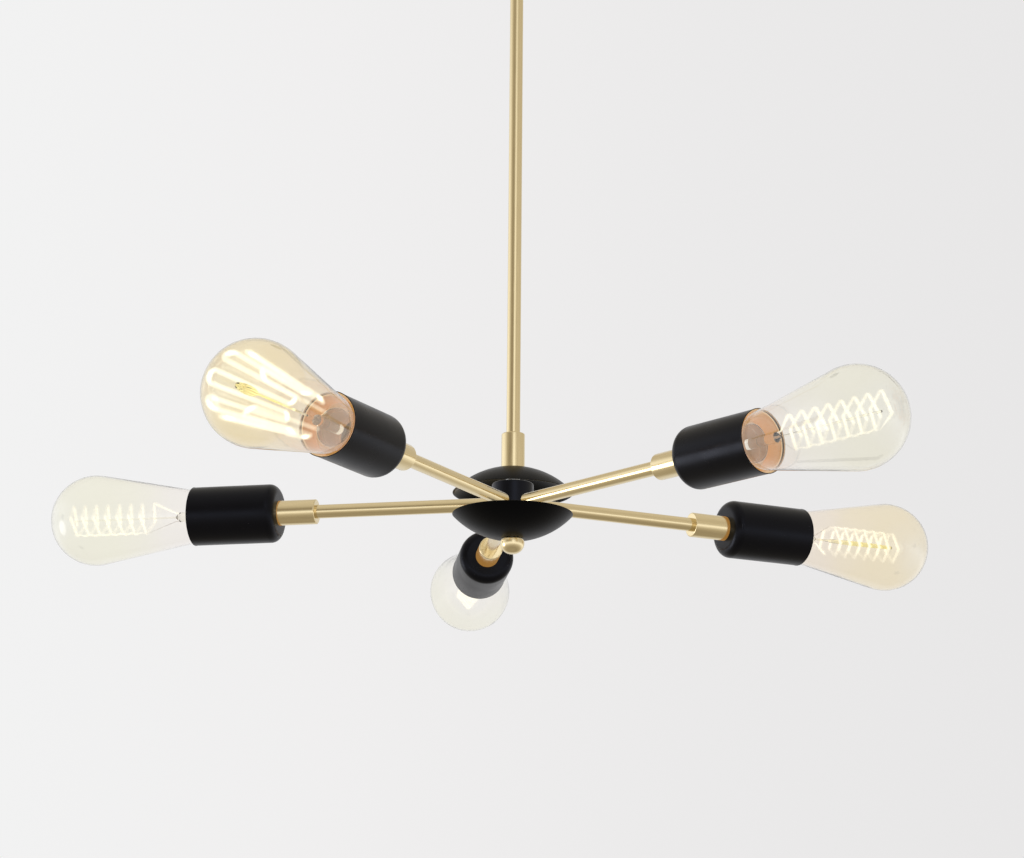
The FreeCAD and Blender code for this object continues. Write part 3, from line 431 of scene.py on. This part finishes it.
def axis_matrix(axis):
    """Turns a piece drawn along +X onto an axis."""
    origin, way = axis
    side = Vector((0, 1, 0)) if abs(way.z) > 0.9 else Vector((0, 0, 1)).cross(way).normalized()
    return Matrix.Translation(origin) @ Matrix((way, side, way.cross(side))).transposed().to_4x4()


def turned_mesh(name, outline, around=96, steps=ARC_STEPS):
    """Lathe a closed outline about +X."""
    points = steps_to_points(outline, steps)
    shape = bmesh.new()
    unrolled = shape.loops.layers.uv.new(UNROLLED)
    rings = []
    for along, radius in points:
        if radius < 1e-7:
            rings.append([shape.verts.new((along, 0, 0))] * around)
        else:
            rings.append([shape.verts.new((along, radius * math.cos(2 * math.pi * k / around),
                                           radius * math.sin(2 * math.pi * k / around))) for k in range(around)])
    run = 0.0
    for index, (ring, next_ring) in enumerate(zip(rings, rings[1:] + rings[:1])):
        (along, radius), (next_along, next_radius) = points[index], points[(index + 1) % len(points)]
        next_run = run + math.hypot(next_along - along, next_radius - radius)
        width = 2 * math.pi * max(radius, next_radius)
        for k in range(around):
            corners = [(ring[k], k, run), (ring[(k + 1) % around], k + 1, run),
                       (next_ring[(k + 1) % around], k + 1, next_run), (next_ring[k], k, next_run)]
            kept = []
            for corner in corners:
                if corner[0] not in [other[0] for other in kept]:
                    kept.append(corner)
            if len(kept) > 2:
                face = shape.faces.new([corner[0] for corner in kept])
                face.smooth = True
                for loop, corner in zip(face.loops, kept):
                    loop[unrolled].uv = (width * corner[1] / around, corner[2])
        run = next_run
    bmesh.ops.recalc_face_normals(shape, faces=shape.faces)
    mesh = bpy.data.meshes.new(name)
    shape.to_mesh(mesh)
    shape.free()
    mesh.set_sharp_from_angle(angle=math.radians(32))
    return mesh


def place_piece(name, mesh, material, body, slot, *nodes):
    """Hang a finished mesh in the scene, on its body, in place of the nodes it stands for."""
    piece = bpy.data.objects.new(name, mesh)
    bpy.context.scene.collection.objects.link(piece)
    if material:
        mesh.materials.clear()
        mesh.materials.append(material)
    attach(piece, body)
    if nodes:
        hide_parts(*nodes)
    print("made", name, len(mesh.vertices), "vertices")
    return piece


def turned_piece(name, outline, axis, material, body, slot, *nodes, around=96, steps=ARC_STEPS):
    mesh = turned_mesh(name, outline, around, steps)
    mesh.transform(axis_matrix(axis))
    return place_piece(name, mesh, material, body, slot, *nodes)


def rounded(along, radius, size, before, after):
    """Two steps that round a corner at (along, radius); before and after are unit steps towards and away."""
    start = (along - before[0] * size, radius - before[1] * size)
    end = (along + after[0] * size, radius + after[1] * size)
    soft = size * (1 - math.sqrt(0.5))
    middle = (along - before[0] * soft + after[0] * soft, radius - before[1] * soft + after[1] * soft)
    return [start, middle + end]


OUT, IN, ON, BACK = (0, 1), (0, -1), (1, 0), (-1, 0)

# %% [markdown]
# ## Rod, collar and finial
# The rod is a plain brass tube.  It screws into a plain brass collar that stands on the upper dish, and a small
# round-bottomed finial clamps the lower dish from below.  Their edges are broken by a fraction of a millimetre,
# as every turned edge is, because that is where metal catches its brightest light.

# %% Turn the brass on the rod
rod_low, rod_high, bore_r, tube_r = measure("down_rod", ROD_AXIS)
turned_piece("rod_tube", [(rod_low, bore_r), (rod_low, tube_r), (rod_high, tube_r), (rod_high, bore_r)],
             ROD_AXIS, satin_brass, "fixture", "satin_brass", "down_rod", around=64)

collar_low, collar_high, _, collar_r = measure("rod_collar", ROD_AXIS)
turned_piece("rod_collar_turned",
             [(collar_low, tube_r)] + rounded(collar_low, collar_r, 0.3 * MM, OUT, ON)
             + rounded(collar_high, collar_r, 0.8 * MM, ON, IN)
             + rounded(collar_high, tube_r, 0.2 * MM, IN, BACK),
             ROD_AXIS, satin_brass, "fixture", "satin_brass", "rod_collar")

finial_low, finial_high, _, finial_r = measure("finial", ROD_AXIS)
finial_top_r = finial_r * 0.7
waist = finial_high - 3.0 * MM
turned_piece("finial_turned",
             [(finial_high, 0), (finial_high, finial_top_r),
              ((finial_high + waist) / 2 + 0.62 * MM, finial_r - 0.73 * MM, waist, finial_r),
              (finial_low + 2.0 * MM, finial_r * 0.72, finial_low, 0)],
             ROD_AXIS, satin_brass, "fixture", "satin_brass", "finial")

# %% [markdown]
# ## The dishes and the hub
# Each dish is spun from sheet over a form: part of a sphere with a flat seat in the middle.  Spun sheet keeps
# its thickness, so the inside follows the outside a wall's width away, and the rim is a narrow soft edge.

# %% Spin the dishes
DISH_SEAT_R = 9.0 * MM
DISH_WALL = 1.2 * MM
HUB_ROUND = 1.2 * MM


def dish_outline(node):
    low, high, _, rim_r = measure(node, ROD_AXIS)
    above = low > HUB.z
    rim, seat = (low, high) if above else (high, low)
    sign = 1 if above else -1
    rise = abs(seat - rim)
    ball_r = math.hypot(rise ** 2 + DISH_SEAT_R ** 2 - rim_r ** 2, 2 * rise * rim_r) / (2 * rise)
    drop = math.sqrt(ball_r ** 2 - DISH_SEAT_R ** 2)
    centre = seat - sign * drop
    middle_r = (rim_r + DISH_SEAT_R) / 2
    inner = ball_r - DISH_WALL

    def on_ball(radius, ring_r):
        return centre + sign * math.sqrt(radius ** 2 - ring_r ** 2)

    inner_seat = seat - sign * DISH_WALL
    inner_seat_r = math.sqrt(inner ** 2 - (inner_seat - centre) ** 2)
    inner_rim_r = math.sqrt(inner ** 2 - (rim - centre) ** 2)
    edge_r = (rim_r + inner_rim_r) / 2
    return [(seat, tube_r), (seat, DISH_SEAT_R), (on_ball(ball_r, middle_r), middle_r, rim, rim_r),
            (rim - sign * 0.25 * MM, edge_r, rim, inner_rim_r),
            (on_ball(inner, middle_r), middle_r, inner_seat, inner_seat_r), (inner_seat, tube_r)]


for dish in ("upper_dish", "lower_dish"):
    turned_piece(dish + "_spun", dish_outline(dish), ROD_AXIS, dish_coat, "fixture", "black_coat", dish,
                 around=160, steps=28)

hub_low, hub_high, _, hub_r = measure("hub_body", ROD_AXIS)
turned_piece("hub_block",
             [(hub_low, 0)] + rounded(hub_low, hub_r, HUB_ROUND, OUT, ON)
             + rounded(hub_high, hub_r, HUB_ROUND, ON, IN) + [(hub_high, 0)],
             ROD_AXIS, hub_coat, "fixture", "black_coat", "hub_body")

# %% [markdown]
# ## Five arms from one
# The arm, its collar and its cup are the same five times, spread evenly around the rod.  So each is drawn once,
# along +X, and a small tree of geometry nodes stands copies of it around the hub.  The copies are realised at
# the end, because only real faces leave the program with the model.

# %% The tree that spreads a piece around the rod
def new_tree(name, sockets):
    tree = bpy.data.node_groups.new(name, "GeometryNodeTree")
    tree.interface.new_socket("Geometry", in_out="INPUT", socket_type="NodeSocketGeometry")
    tree.interface.new_socket("Geometry", in_out="OUTPUT", socket_type="NodeSocketGeometry")
    for socket_name, kind, value in sockets:
        socket = tree.interface.new_socket(socket_name, in_out="INPUT", socket_type=kind)
        if value is not None:
            socket.default_value = value
    return tree


def finish_tree(tree, geometry):
    add(tree, "NodeGroupOutput", {"Geometry": geometry})


def run_tree(tree, name, mesh, values):
    """Run a tree on a mesh with named input values, and return the plain mesh that comes out."""
    carrier = bpy.data.objects.new(name, mesh)
    bpy.context.scene.collection.objects.link(carrier)
    modifier = carrier.modifiers.new("shape", "NODES")
    modifier.node_group = tree
    for item in tree.interface.items_tree:
        if item.item_type == "SOCKET" and item.in_out == "INPUT" and item.name in values:
            modifier[item.identifier] = values[item.name]
    bpy.context.view_layer.update()
    shaped = carrier.evaluated_get(bpy.context.evaluated_depsgraph_get())
    result = bpy.data.meshes.new_from_object(shaped)
    result.name = name
    carrier.modifiers.clear()
    bpy.data.objects.remove(carrier)
    return result


spread = new_tree("spread_around_rod", [("Count", "NodeSocketInt", 5), ("First Azimuth", "NodeSocketFloat", 0.0),
                                        ("Hub Height", "NodeSocketFloat", 0.0),
                                        ("Lining Start", "NodeSocketFloat", 0.0),
                                        ("Lining Radius", "NodeSocketFloat", 0.0),
                                        ("Material", "NodeSocketMaterial", None),
                                        ("Lining Material", "NodeSocketMaterial", None)])
given = add(spread, "NodeGroupInput")
spot = add(spread, "ShaderNodeSeparateXYZ", {0: add(spread, "GeometryNodeInputPosition").outputs[0]})
from_axis = add(spread, "ShaderNodeCombineXYZ", {"Y": spot.outputs["Y"], "Z": spot.outputs["Z"]})
from_axis = add(spread, "ShaderNodeVectorMath", {0: from_axis.outputs[0]}, operation="LENGTH")
within = add(spread, "ShaderNodeMath", {0: from_axis.outputs["Value"], 1: given.outputs["Lining Radius"]},
             operation="LESS_THAN")
beyond = add(spread, "ShaderNodeMath", {0: spot.outputs["X"], 1: given.outputs["Lining Start"]},
             operation="GREATER_THAN")
both = add(spread, "ShaderNodeMath", {0: within.outputs[0], 1: beyond.outputs[0]}, operation="MULTIPLY")
marked = add(spread, "GeometryNodeStoreNamedAttribute",
             {"Geometry": given.outputs["Geometry"], "Name": "lining", "Value": both.outputs[0]},
             data_type="BOOLEAN", domain="FACE")
hub_point = add(spread, "ShaderNodeCombineXYZ", {"Z": given.outputs["Hub Height"]})
points = add(spread, "GeometryNodePoints", {"Count": given.outputs["Count"], "Position": hub_point.outputs[0]})
share = add(spread, "ShaderNodeMath", {0: 2 * math.pi, 1: given.outputs["Count"]}, operation="DIVIDE")
azimuth = add(spread, "ShaderNodeMath",
              {0: add(spread, "GeometryNodeInputIndex").outputs[0], 1: share.outputs[0],
               2: given.outputs["First Azimuth"]}, operation="MULTIPLY_ADD")
facing = add(spread, "ShaderNodeCombineXYZ", {"Z": azimuth.outputs[0]})
turned_to = add(spread, "FunctionNodeEulerToRotation", {0: facing.outputs[0]})
copies = add(spread, "GeometryNodeInstanceOnPoints",
             {"Points": points.outputs[0], "Instance": marked.outputs[0], "Rotation": turned_to.outputs[0]})
real = add(spread, "GeometryNodeRealizeInstances", {"Geometry": copies.outputs[0]})
outside = add(spread, "GeometryNodeSetMaterial",
              {"Geometry": real.outputs[0], "Material": given.outputs["Material"]})
is_lining = add(spread, "GeometryNodeInputNamedAttribute", {"Name": "lining"}, data_type="BOOLEAN")
finished = add(spread, "GeometryNodeSetMaterial",
               {"Geometry": outside.outputs[0], "Selection": is_lining.outputs[0],
                "Material": given.outputs["Lining Material"]})
finish_tree(spread, finished.outputs[0])


def spread_piece(name, outline, material, slot, node_stem, around=96, lining=None):
    """One piece for all five arms. A lining is (start, radius, material) of the faces inside it."""
    mesh = turned_mesh(name, outline, around)
    way = FIRST_AXIS[1]
    values = {"Count": len(LAMPS), "First Azimuth": math.atan2(way.y, way.x), "Hub Height": HUB.z,
              "Material": material}
    if lining:
        values.update({"Lining Start": lining[0], "Lining Radius": lining[1], "Lining Material": lining[2]})
    result = run_tree(spread, name, mesh, values)
    nodes = [node_stem + lamp for lamp in LAMPS]
    return place_piece(name, result, None, "fixture", slot, *nodes)


# %% [markdown]
# The arm is the same tube as the rod.  Its collar is a plain turned sleeve with soft edges, and the cup is a
# deep black can with a rounded back edge and a thin mouth.  The coat turns in over the mouth as a thin lip.  The
# inside beyond it is bare metal with a painted warm glow of the lamp on it, and shows golden brown through the
# neck of the lamp.

# %% Arms, collars and cups
arm_start, arm_end, _, _ = measure("arm_" + FIRST, FIRST_AXIS)
spread_piece("arm_tubes", [(arm_start, bore_r), (arm_start, tube_r), (arm_end, tube_r), (arm_end, bore_r)],
             satin_brass, "satin_brass", "arm_", around=64)

sleeve_start, sleeve_end, _, sleeve_r = measure("socket_collar_" + FIRST, FIRST_AXIS)
spread_piece("socket_sleeves",
             [(sleeve_start, tube_r)] + rounded(sleeve_start, sleeve_r, 0.8 * MM, OUT, ON)
             + [(sleeve_end, sleeve_r), (sleeve_end, tube_r)],
             satin_brass, "satin_brass", "socket_collar_")

cup_wall = 1.2 * MM
inner_r = cup_r - cup_wall
floor_inside = cup_back + cup_wall
lip_r = inner_r + 0.75 * cup_wall
LIP = 2.0 * MM
back_round = 6.5 * MM
spread_piece("socket_cups",
             [(cup_back, tube_r)] + rounded(cup_back, cup_r, back_round, OUT, ON)
             + [(cup_mouth - cup_wall / 2, cup_r),
                (cup_mouth, (cup_r + lip_r) / 2, cup_mouth - cup_wall / 2, lip_r),
                (cup_mouth - LIP, lip_r), (cup_mouth - LIP, inner_r)]
             + rounded(floor_inside, inner_r, back_round - cup_wall, BACK, IN) + [(floor_inside, tube_r)],
             black_coat, "black_coat", "socket_cup_", around=128,
             lining=(cup_back + back_round, inner_r + 0.7 * cup_wall, bare_brass_painted_glow))

# %% [markdown]
# Brushed brass takes its light from a wide part of the room and stays pale right up to the black parts beside
# it.  A plain mirror image of them would cut hard dark shapes into it, so reflections look past the black
# pieces.  That serves the picture: a real mirror image would hold them.

# %% Keep the brass pale beside the black
for name in ("upper_dish_spun", "lower_dish_spun", "hub_block", "socket_cups"):
    bpy.data.objects[name].visible_glossy = False

# %% [markdown]
# ## Lamp glass
# The lamp is blown from clear glass: a narrow neck, a long straight cone and a round crown.  The cone leaves
# the cup's mouth and runs into the ball without a corner, which fixes the whole outline from a few radii.
# The inside is the same outline one wall further in.

# %% Blow the envelopes
glass_start, glass_end, _, glass_r = measure("lamp_glass_" + FIRST, FIRST_AXIS)
cap_end = measure("lamp_cap_" + FIRST, FIRST_AXIS)[1]
GLASS_WALL = 0.5 * MM
NECK_R = 12.2 * MM
MOUTH_R = 18.6 * MM
SHOULDER_START = cap_end + 0.5 * MM
GLASS_STEPS = 24


def glass_steps(wall):
    ball = glass_end - glass_r
    sight = math.hypot(ball - cup_mouth, MOUTH_R)
    slope = math.asin(glass_r / sight) - math.asin(MOUTH_R / sight)
    inward = (math.sin(slope), -math.cos(slope))
    run = cup_mouth - SHOULDER_START
    climb = MOUTH_R - NECK_R
    bend = -(run ** 2 + climb ** 2) / (2 * (run * inward[0] + climb * inward[1]))
    centre = (cup_mouth + bend * inward[0], MOUTH_R + bend * inward[1])
    bend -= wall
    ball_r = glass_r - wall
    neck_angle = math.pi - math.asin((NECK_R - wall - centre[1]) / bend)
    cone_angle = math.pi / 2 + slope
    middle = (neck_angle + cone_angle) / 2
    neck_end, halfway, cone_start = ((centre[0] + bend * math.cos(a), centre[1] + bend * math.sin(a))
                                     for a in (neck_angle, middle, cone_angle))
    touch = (ball - ball_r * inward[0], -ball_r * inward[1])
    crown = (ball + ball_r * math.cos(cone_angle / 2), ball_r * math.sin(cone_angle / 2), ball + ball_r, 0)
    return [(glass_start, NECK_R - wall), neck_end, halfway + cone_start, touch, crown]


def glass_outline():
    outside = steps_to_points(glass_steps(0), GLASS_STEPS)
    inside = steps_to_points(glass_steps(GLASS_WALL), GLASS_STEPS)
    return outside + inside[::-1]


# %% [markdown]
# Blown glass is never quite even, so each lamp has very faint waves, and the tint of its inside coat drifts a
# little.  The lamps aren't quite alike either: one is amber, one is warm and the others are almost clear.

# %% Tint the glass
BLOWN_WAVES_MM = 24.0
TINT_DRIFT_MM = 24
outer_wall = steps_to_points(glass_steps(0), GLASS_STEPS)
CROWN_RUN = sum(math.dist(one, other) for one, other in zip(outer_wall, outer_wall[1:]))
print("from neck to crown along the glass: %.0f mm" % (CROWN_RUN / MM))


def blown_glass(name, crown, middle, neck):
    """Clear glass with a thin coat inside, tinted by how far along the surface it is from the crown, in mm."""
    material, tree = new_material(name)
    place = add(tree, "ShaderNodeTexCoord")
    waves = add(tree, "ShaderNodeTexNoise",
                {"Vector": place.outputs["Object"], "Scale": 1 / (BLOWN_WAVES_MM * MM), "Detail": 1.0})
    unrolled = add(tree, "ShaderNodeSeparateXYZ", {0: add(tree, "ShaderNodeUVMap", uv_map=UNROLLED).outputs[0]})
    from_crown = add(tree, "ShaderNodeMath", {0: unrolled.outputs["Y"], 1: CROWN_RUN}, operation="SUBTRACT")
    from_crown = add(tree, "ShaderNodeMath", {0: from_crown.outputs[0]}, operation="ABSOLUTE")
    drifting = add(tree, "ShaderNodeMath",
                   {0: waves.outputs["Fac"], 1: TINT_DRIFT_MM * MM, 2: from_crown.outputs[0]},
                   operation="MULTIPLY_ADD")
    tint = profile(tree, drifting.outputs[0],
                   [(12 * MM, crown), (44 * MM, middle), (84 * MM, middle), (122 * MM, neck)])
    ripple = add(tree, "ShaderNodeBump",
                 {"Height": waves.outputs["Fac"], "Strength": 0.15, "Distance": 0.3 * MM})
    clear = add(tree, "ShaderNodeBsdfPrincipled",
                {"Base Color": tint, "Roughness": 0.0, "IOR": 1.5, "Transmission Weight": 1.0,
                 "Normal": ripple.outputs[0]})
    show(tree, clear.outputs[0])
    return material


clear_glass = blown_glass("blown_clear_glass", "#FEFEFB", "#FEFDF5", "#FFFDFB")
warm_glass = blown_glass("blown_warm_glass", "#FFFEFB", "#FFF9EA", "#FFFAF4")
amber_glass = blown_glass("blown_amber_glass", "#FFFBEC", "#FDF5E0", "#FEF6EA")
stem_glass = blown_glass("pressed_stem_glass", "#FDFCF8", "#FBFAF4", "#F8F6EE")
# The stem glass of the two lamps with buttons is tinted yellow as painted glow of the hot wire.
stem_glass_painted_glow = blown_glass("pressed_stem_glass_lit", "#FBF6C8", "#FAF3B4", "#F8F6EE")
WARM_LAMP, LOOPED_LAMP = "1", "4"
ENVELOPES = {WARM_LAMP: warm_glass, LOOPED_LAMP: amber_glass}

# %% Hang envelopes and stems
REACH = {"stem": 14 * MM, "cane": 92 * MM}
STEM_R, CANE_R = 3.4 * MM, 0.7 * MM
#                                    top, length and radius of a thicker part that carries the wire's hooks, its
#                                    glass tinted as painted glow
BUTTONS = {WARM_LAMP: (80 * MM, 52 * MM, 1.8 * MM), LOOPED_LAMP: (92 * MM, 17 * MM, 3.0 * MM)}


def stem_outline(lamp):
    """A rod of glass from the cap up the middle; the wire's hooks may stand in a thicker button on it."""
    top = cup_mouth + REACH["cane"]
    rod = [(glass_start, 0), (glass_start, STEM_R), (cup_mouth + REACH["stem"] - 3 * MM, STEM_R),
           (cup_mouth + REACH["stem"], CANE_R)]
    if lamp in BUTTONS:
        reach, length, radius = BUTTONS[lamp]
        top = cup_mouth + reach
        low = top - length
        return rod + [(low - 4 * MM, CANE_R), (low, 0.8 * radius),
                      ((low + top) / 2, radius, top - 1 * MM, 0.6 * radius), (top, 0)]
    return rod + [(top - CANE_R, CANE_R), (top - 0.3 * CANE_R, 0.71 * CANE_R, top, 0)]


for lamp in LAMPS:
    turned_piece("lamp_envelope_" + lamp, glass_outline(), ARM_AXES[lamp], ENVELOPES.get(lamp, clear_glass),
                 "lamp_" + lamp, "lamp_glass", "lamp_glass_" + lamp, around=128)
    turned_piece("lamp_stem_" + lamp, stem_outline(lamp), ARM_AXES[lamp],
                 stem_glass_painted_glow if lamp in BUTTONS else stem_glass, "lamp_" + lamp, "lamp_glass", around=32)

# %% [markdown]
# ## Glowing wire
# The filament is a thin coiled wire, too fine to see as a coil.  In four lamps it is strung as an open spiral
# over four or five hooks to a turn, so it has corners rather than curves, and it comes back along one side in
# small waves.  The lamp at the upper left has long loops up and down its length instead, which open towards the
# crown.  Each is a bent line of points, and one tree of geometry nodes rounds its corners, gives it thickness and
# thins its two ends.  Hot wire looks wider and softer than it is.  So it is drawn several times its real width,
# and its edges fade where the surface turns away.

# %% The wire tree
TAPER_LENGTH = 10 * MM
TAPER_TO = 0.12

wire_tree = new_tree("wire_on_a_path", [("Bend", "NodeSocketFloat", 0.001),
                                        ("Wire Radius", "NodeSocketFloat", 0.001),
                                        ("Material", "NodeSocketMaterial", None)])
given = add(wire_tree, "NodeGroupInput")
path = add(wire_tree, "GeometryNodeMeshToCurve", {"Mesh": given.outputs["Geometry"]})
bent = add(wire_tree, "GeometryNodeFilletCurve",
           {"Curve": path.outputs[0], "Count": 6, "Radius": given.outputs["Bend"], "Limit Radius": True},
           mode="POLY")
section = add(wire_tree, "GeometryNodeCurvePrimitiveCircle",
              {"Resolution": 12, "Radius": given.outputs["Wire Radius"]})
run = add(wire_tree, "GeometryNodeSplineParameter").outputs["Length"]
whole = add(wire_tree, "GeometryNodeSplineLength").outputs["Length"]
left = add(wire_tree, "ShaderNodeMath", {0: whole, 1: run}, operation="SUBTRACT")
nearest_end = add(wire_tree, "ShaderNodeMath", {0: run, 1: left.outputs[0]}, operation="MINIMUM")
taper = add(wire_tree, "ShaderNodeMapRange",
            {"Value": nearest_end.outputs[0], "From Max": TAPER_LENGTH, "To Min": TAPER_TO})
wire = add(wire_tree, "GeometryNodeCurveToMesh",
           {"Curve": bent.outputs[0], "Profile Curve": section.outputs[0], "Scale": taper.outputs[0],
            "Fill Caps": True})
smooth = add(wire_tree, "GeometryNodeSetShadeSmooth", {"Geometry": wire.outputs[0]})
real = add(wire_tree, "GeometryNodeRealizeInstances", {"Geometry": smooth.outputs[0]})
finished = add(wire_tree, "GeometryNodeSetMaterial",
               {"Geometry": real.outputs[0], "Material": given.outputs["Material"]})
finish_tree(wire_tree, finished.outputs[0])


def wire_piece(name, lamp, paths, bend, radius, material, *nodes):
    """Wires of one lamp. A path is a list of (reach from the cup's mouth, radius, turn) with 90 degrees up."""
    places, pairs = [], []
    for path in paths:
        first = len(places)
        places += [(cup_mouth + reach, r * math.cos(math.radians(turn)), r * math.sin(math.radians(turn)))
                   for reach, r, turn in path]
        pairs += [(k, k + 1) for k in range(first, len(places) - 1)]
    line = bpy.data.meshes.new(name + "_path")
    line.from_pydata(places, pairs, [])
    mesh = run_tree(wire_tree, name, line, {"Bend": bend, "Wire Radius": radius, "Material": material})
    mesh.transform(axis_matrix(ARM_AXES[lamp]))
    return place_piece(name, mesh, None, "lamp_" + lamp, "filament", *nodes)


# %% Hot tungsten
HALO = [(0.0, 1.0), (0.06, 0.95), (0.15, 0.5), (0.30, 0.2), (0.6, 0.06), (0.9, 0.0)]    # by facing, 0 is face on


def hot_wire(name, glow, cooler, strength, body):
    material, tree = new_material(name)
    place = add(tree, "ShaderNodeTexCoord")
    beads = add(tree, "ShaderNodeTexNoise", {"Vector": place.outputs["Object"], "Scale": 1 / (1.5 * MM)})
    heat = add(tree, "ShaderNodeMapRange", {"Value": beads.outputs["Fac"], "From Min": 0.35, "From Max": 0.65})
    colour = add(tree, "ShaderNodeMix", {0: heat.outputs[0], 6: linear(cooler), 7: linear(glow)},
                 data_type="RGBA")
    turned_away = add(tree, "ShaderNodeLayerWeight", {"Blend": 0.5})
    cover = add(tree, "ShaderNodeMath",
                {0: level_profile(tree, turned_away.outputs["Facing"], HALO), 1: body}, operation="MULTIPLY")
    tungsten = add(tree, "ShaderNodeBsdfPrincipled",
                   {"Base Color": linear("#2A2622"), "Roughness": 0.6, "Emission Color": colour.outputs[2],
                    "Emission Strength": strength, "Alpha": cover.outputs[0]})
    show(tree, tungsten.outputs[0])
    return material


soft_glow = hot_wire("hot_tungsten_coil", "#FFFDF2", "#FFF6DC", 1.2, 0.85)
full_glow = hot_wire("hot_tungsten_coil_bright", "#FFFFF6", "#FFFAE8", 2.1, 1.0)
lead_metal = coated("dull_lead_wire", "#B09A78", 0.5, 0.1, 0.2)

# %% String the spirals
COIL_R, RETURN_R, LEAD_R = 1.5 * MM, 1.1 * MM, 0.22 * MM
COIL_BEND, RETURN_BEND, LEAD_BEND = 1.2 * MM, 2.0 * MM, 1.0 * MM
ENTRY_R, ENTRY_DEPTH = 3 * MM, 4 * MM       # where a wire stands in the top of the stem
RETURN_TOP, RETURN_LOW = 2, 4               # the way back starts and ends this far inside the spiral's ends, in mm
WAVE = 0.9 * MM
#           start and end in mm, turns, hooks a turn, radii in mm, radius of the way back, first hook, sense
SPIRALS = {"1": (22, 80, 7, 5, (10.9,), 10.9, 270, 1),
           "2": (27, 90, 7, 4, (11.5, 9.0), 11.5, 90, 1),
           "3": (31, 91, 7, 4, (11.0, 10.0), 11.0, 90, 1),
           "5": (21, 92, 7, 4, (13.4, 8.0, 11.0, 8.0), 11.0, 90, -1)}


def stem_entry(turn):
    """Two places that lead a wire straight out of the stem."""
    return [(REACH["stem"] - ENTRY_DEPTH, ENTRY_R, turn), (REACH["stem"], ENTRY_R, turn)]


for lamp, (start, end, turns, hooks, radii, back_mm, first, sense) in SPIRALS.items():
    count = turns * hooks
    strung = [(MM * (start + (end - start) * k / count), MM * radii[k % len(radii)],
               first + sense * 360 * k / hooks) for k in range(count + 1)]
    back, back_r = first + 180, MM * back_mm
    closing = [(strung[-1][0] + 1.0 * MM, radii[-1] * MM, strung[-1][2] + sense * 90),
               ((end - RETURN_TOP) * MM, back_r, back)]
    wire_piece("filament_" + lamp, lamp, [stem_entry(first) + strung + closing], COIL_BEND, COIL_R, soft_glow,
               "lamp_filament_" + lamp)
    way_back = end - start - RETURN_TOP - RETURN_LOW
    wavy = [(MM * (end - RETURN_TOP - way_back * k / (2 * turns)), back_r - WAVE * (k % 2), back)
            for k in range(2 * turns + 1)]
    wire_piece("return_wire_" + lamp, lamp, [wavy], RETURN_BEND, RETURN_R, soft_glow)
    lead = stem_entry(back) + [((start + RETURN_LOW) * MM, back_r, back)]
    wire_piece("lead_wire_" + lamp, lamp, [lead], LEAD_BEND, LEAD_R, lead_metal)

# %% String the long loops
LEGS = 14
LEG_SPREAD = 360 / (LEGS + 1)
NEAR = (22 * MM, 13.5 * MM)
CROWN = (94 * MM, 20 * MM)
LOOP_ENDS = (18 * MM, 8 * MM)
LOOP_R = 2.0 * MM

looped = []
for leg in range(LEGS):
    ends = [NEAR + (LEG_SPREAD * leg,), CROWN + (LEG_SPREAD * leg,)]
    looped += ends if leg % 2 == 0 else ends[::-1]
half_turn = CROWN[1] * math.sin(math.radians(LEG_SPREAD / 2))
ends = [LOOP_ENDS + (turn,) for turn in (0, LEG_SPREAD * (LEGS - 1))]
wire_piece("filament_" + LOOPED_LAMP, LOOPED_LAMP, [ends[:1] + looped + ends[1:]], half_turn, LOOP_R, full_glow,
           "lamp_filament_" + LOOPED_LAMP)
loop_leads = [stem_entry(place[2]) + [place] for place in ends]
wire_piece("lead_wires_" + LOOPED_LAMP, LOOPED_LAMP, loop_leads, LEAD_BEND, LEAD_R, lead_metal)

# %% [markdown]
# ## What stays as it is
# The ceiling end and the insides of the cups already have their right shapes.  They only need their finish.  The
# lamp holders are black phenolic in the model, and are shown in tan as the lamps' glow colours them.

# %% Finish the remaining nodes
FINISHES = {"satin_brass": satin_brass, "black_coat": black_coat, "zinc_steel": zinc,
            "ground_green": ground_green, "black_phenolic": phenolic, "nickel_shell": nickel,
            "contact_brass": spring_brass, "lamp_tip": tinned, "cap_brass": cap_brass,
            "lamp_glass": clear_glass, "filament": soft_glow}
for entry in frame["record"]["subparts"]:
    node = frame["nodes"][entry["node"]]
    node.data.materials.clear()
    node.data.materials.append(FINISHES[entry["material_slot"]])
print("finished", len(frame["nodes"]), "nodes")
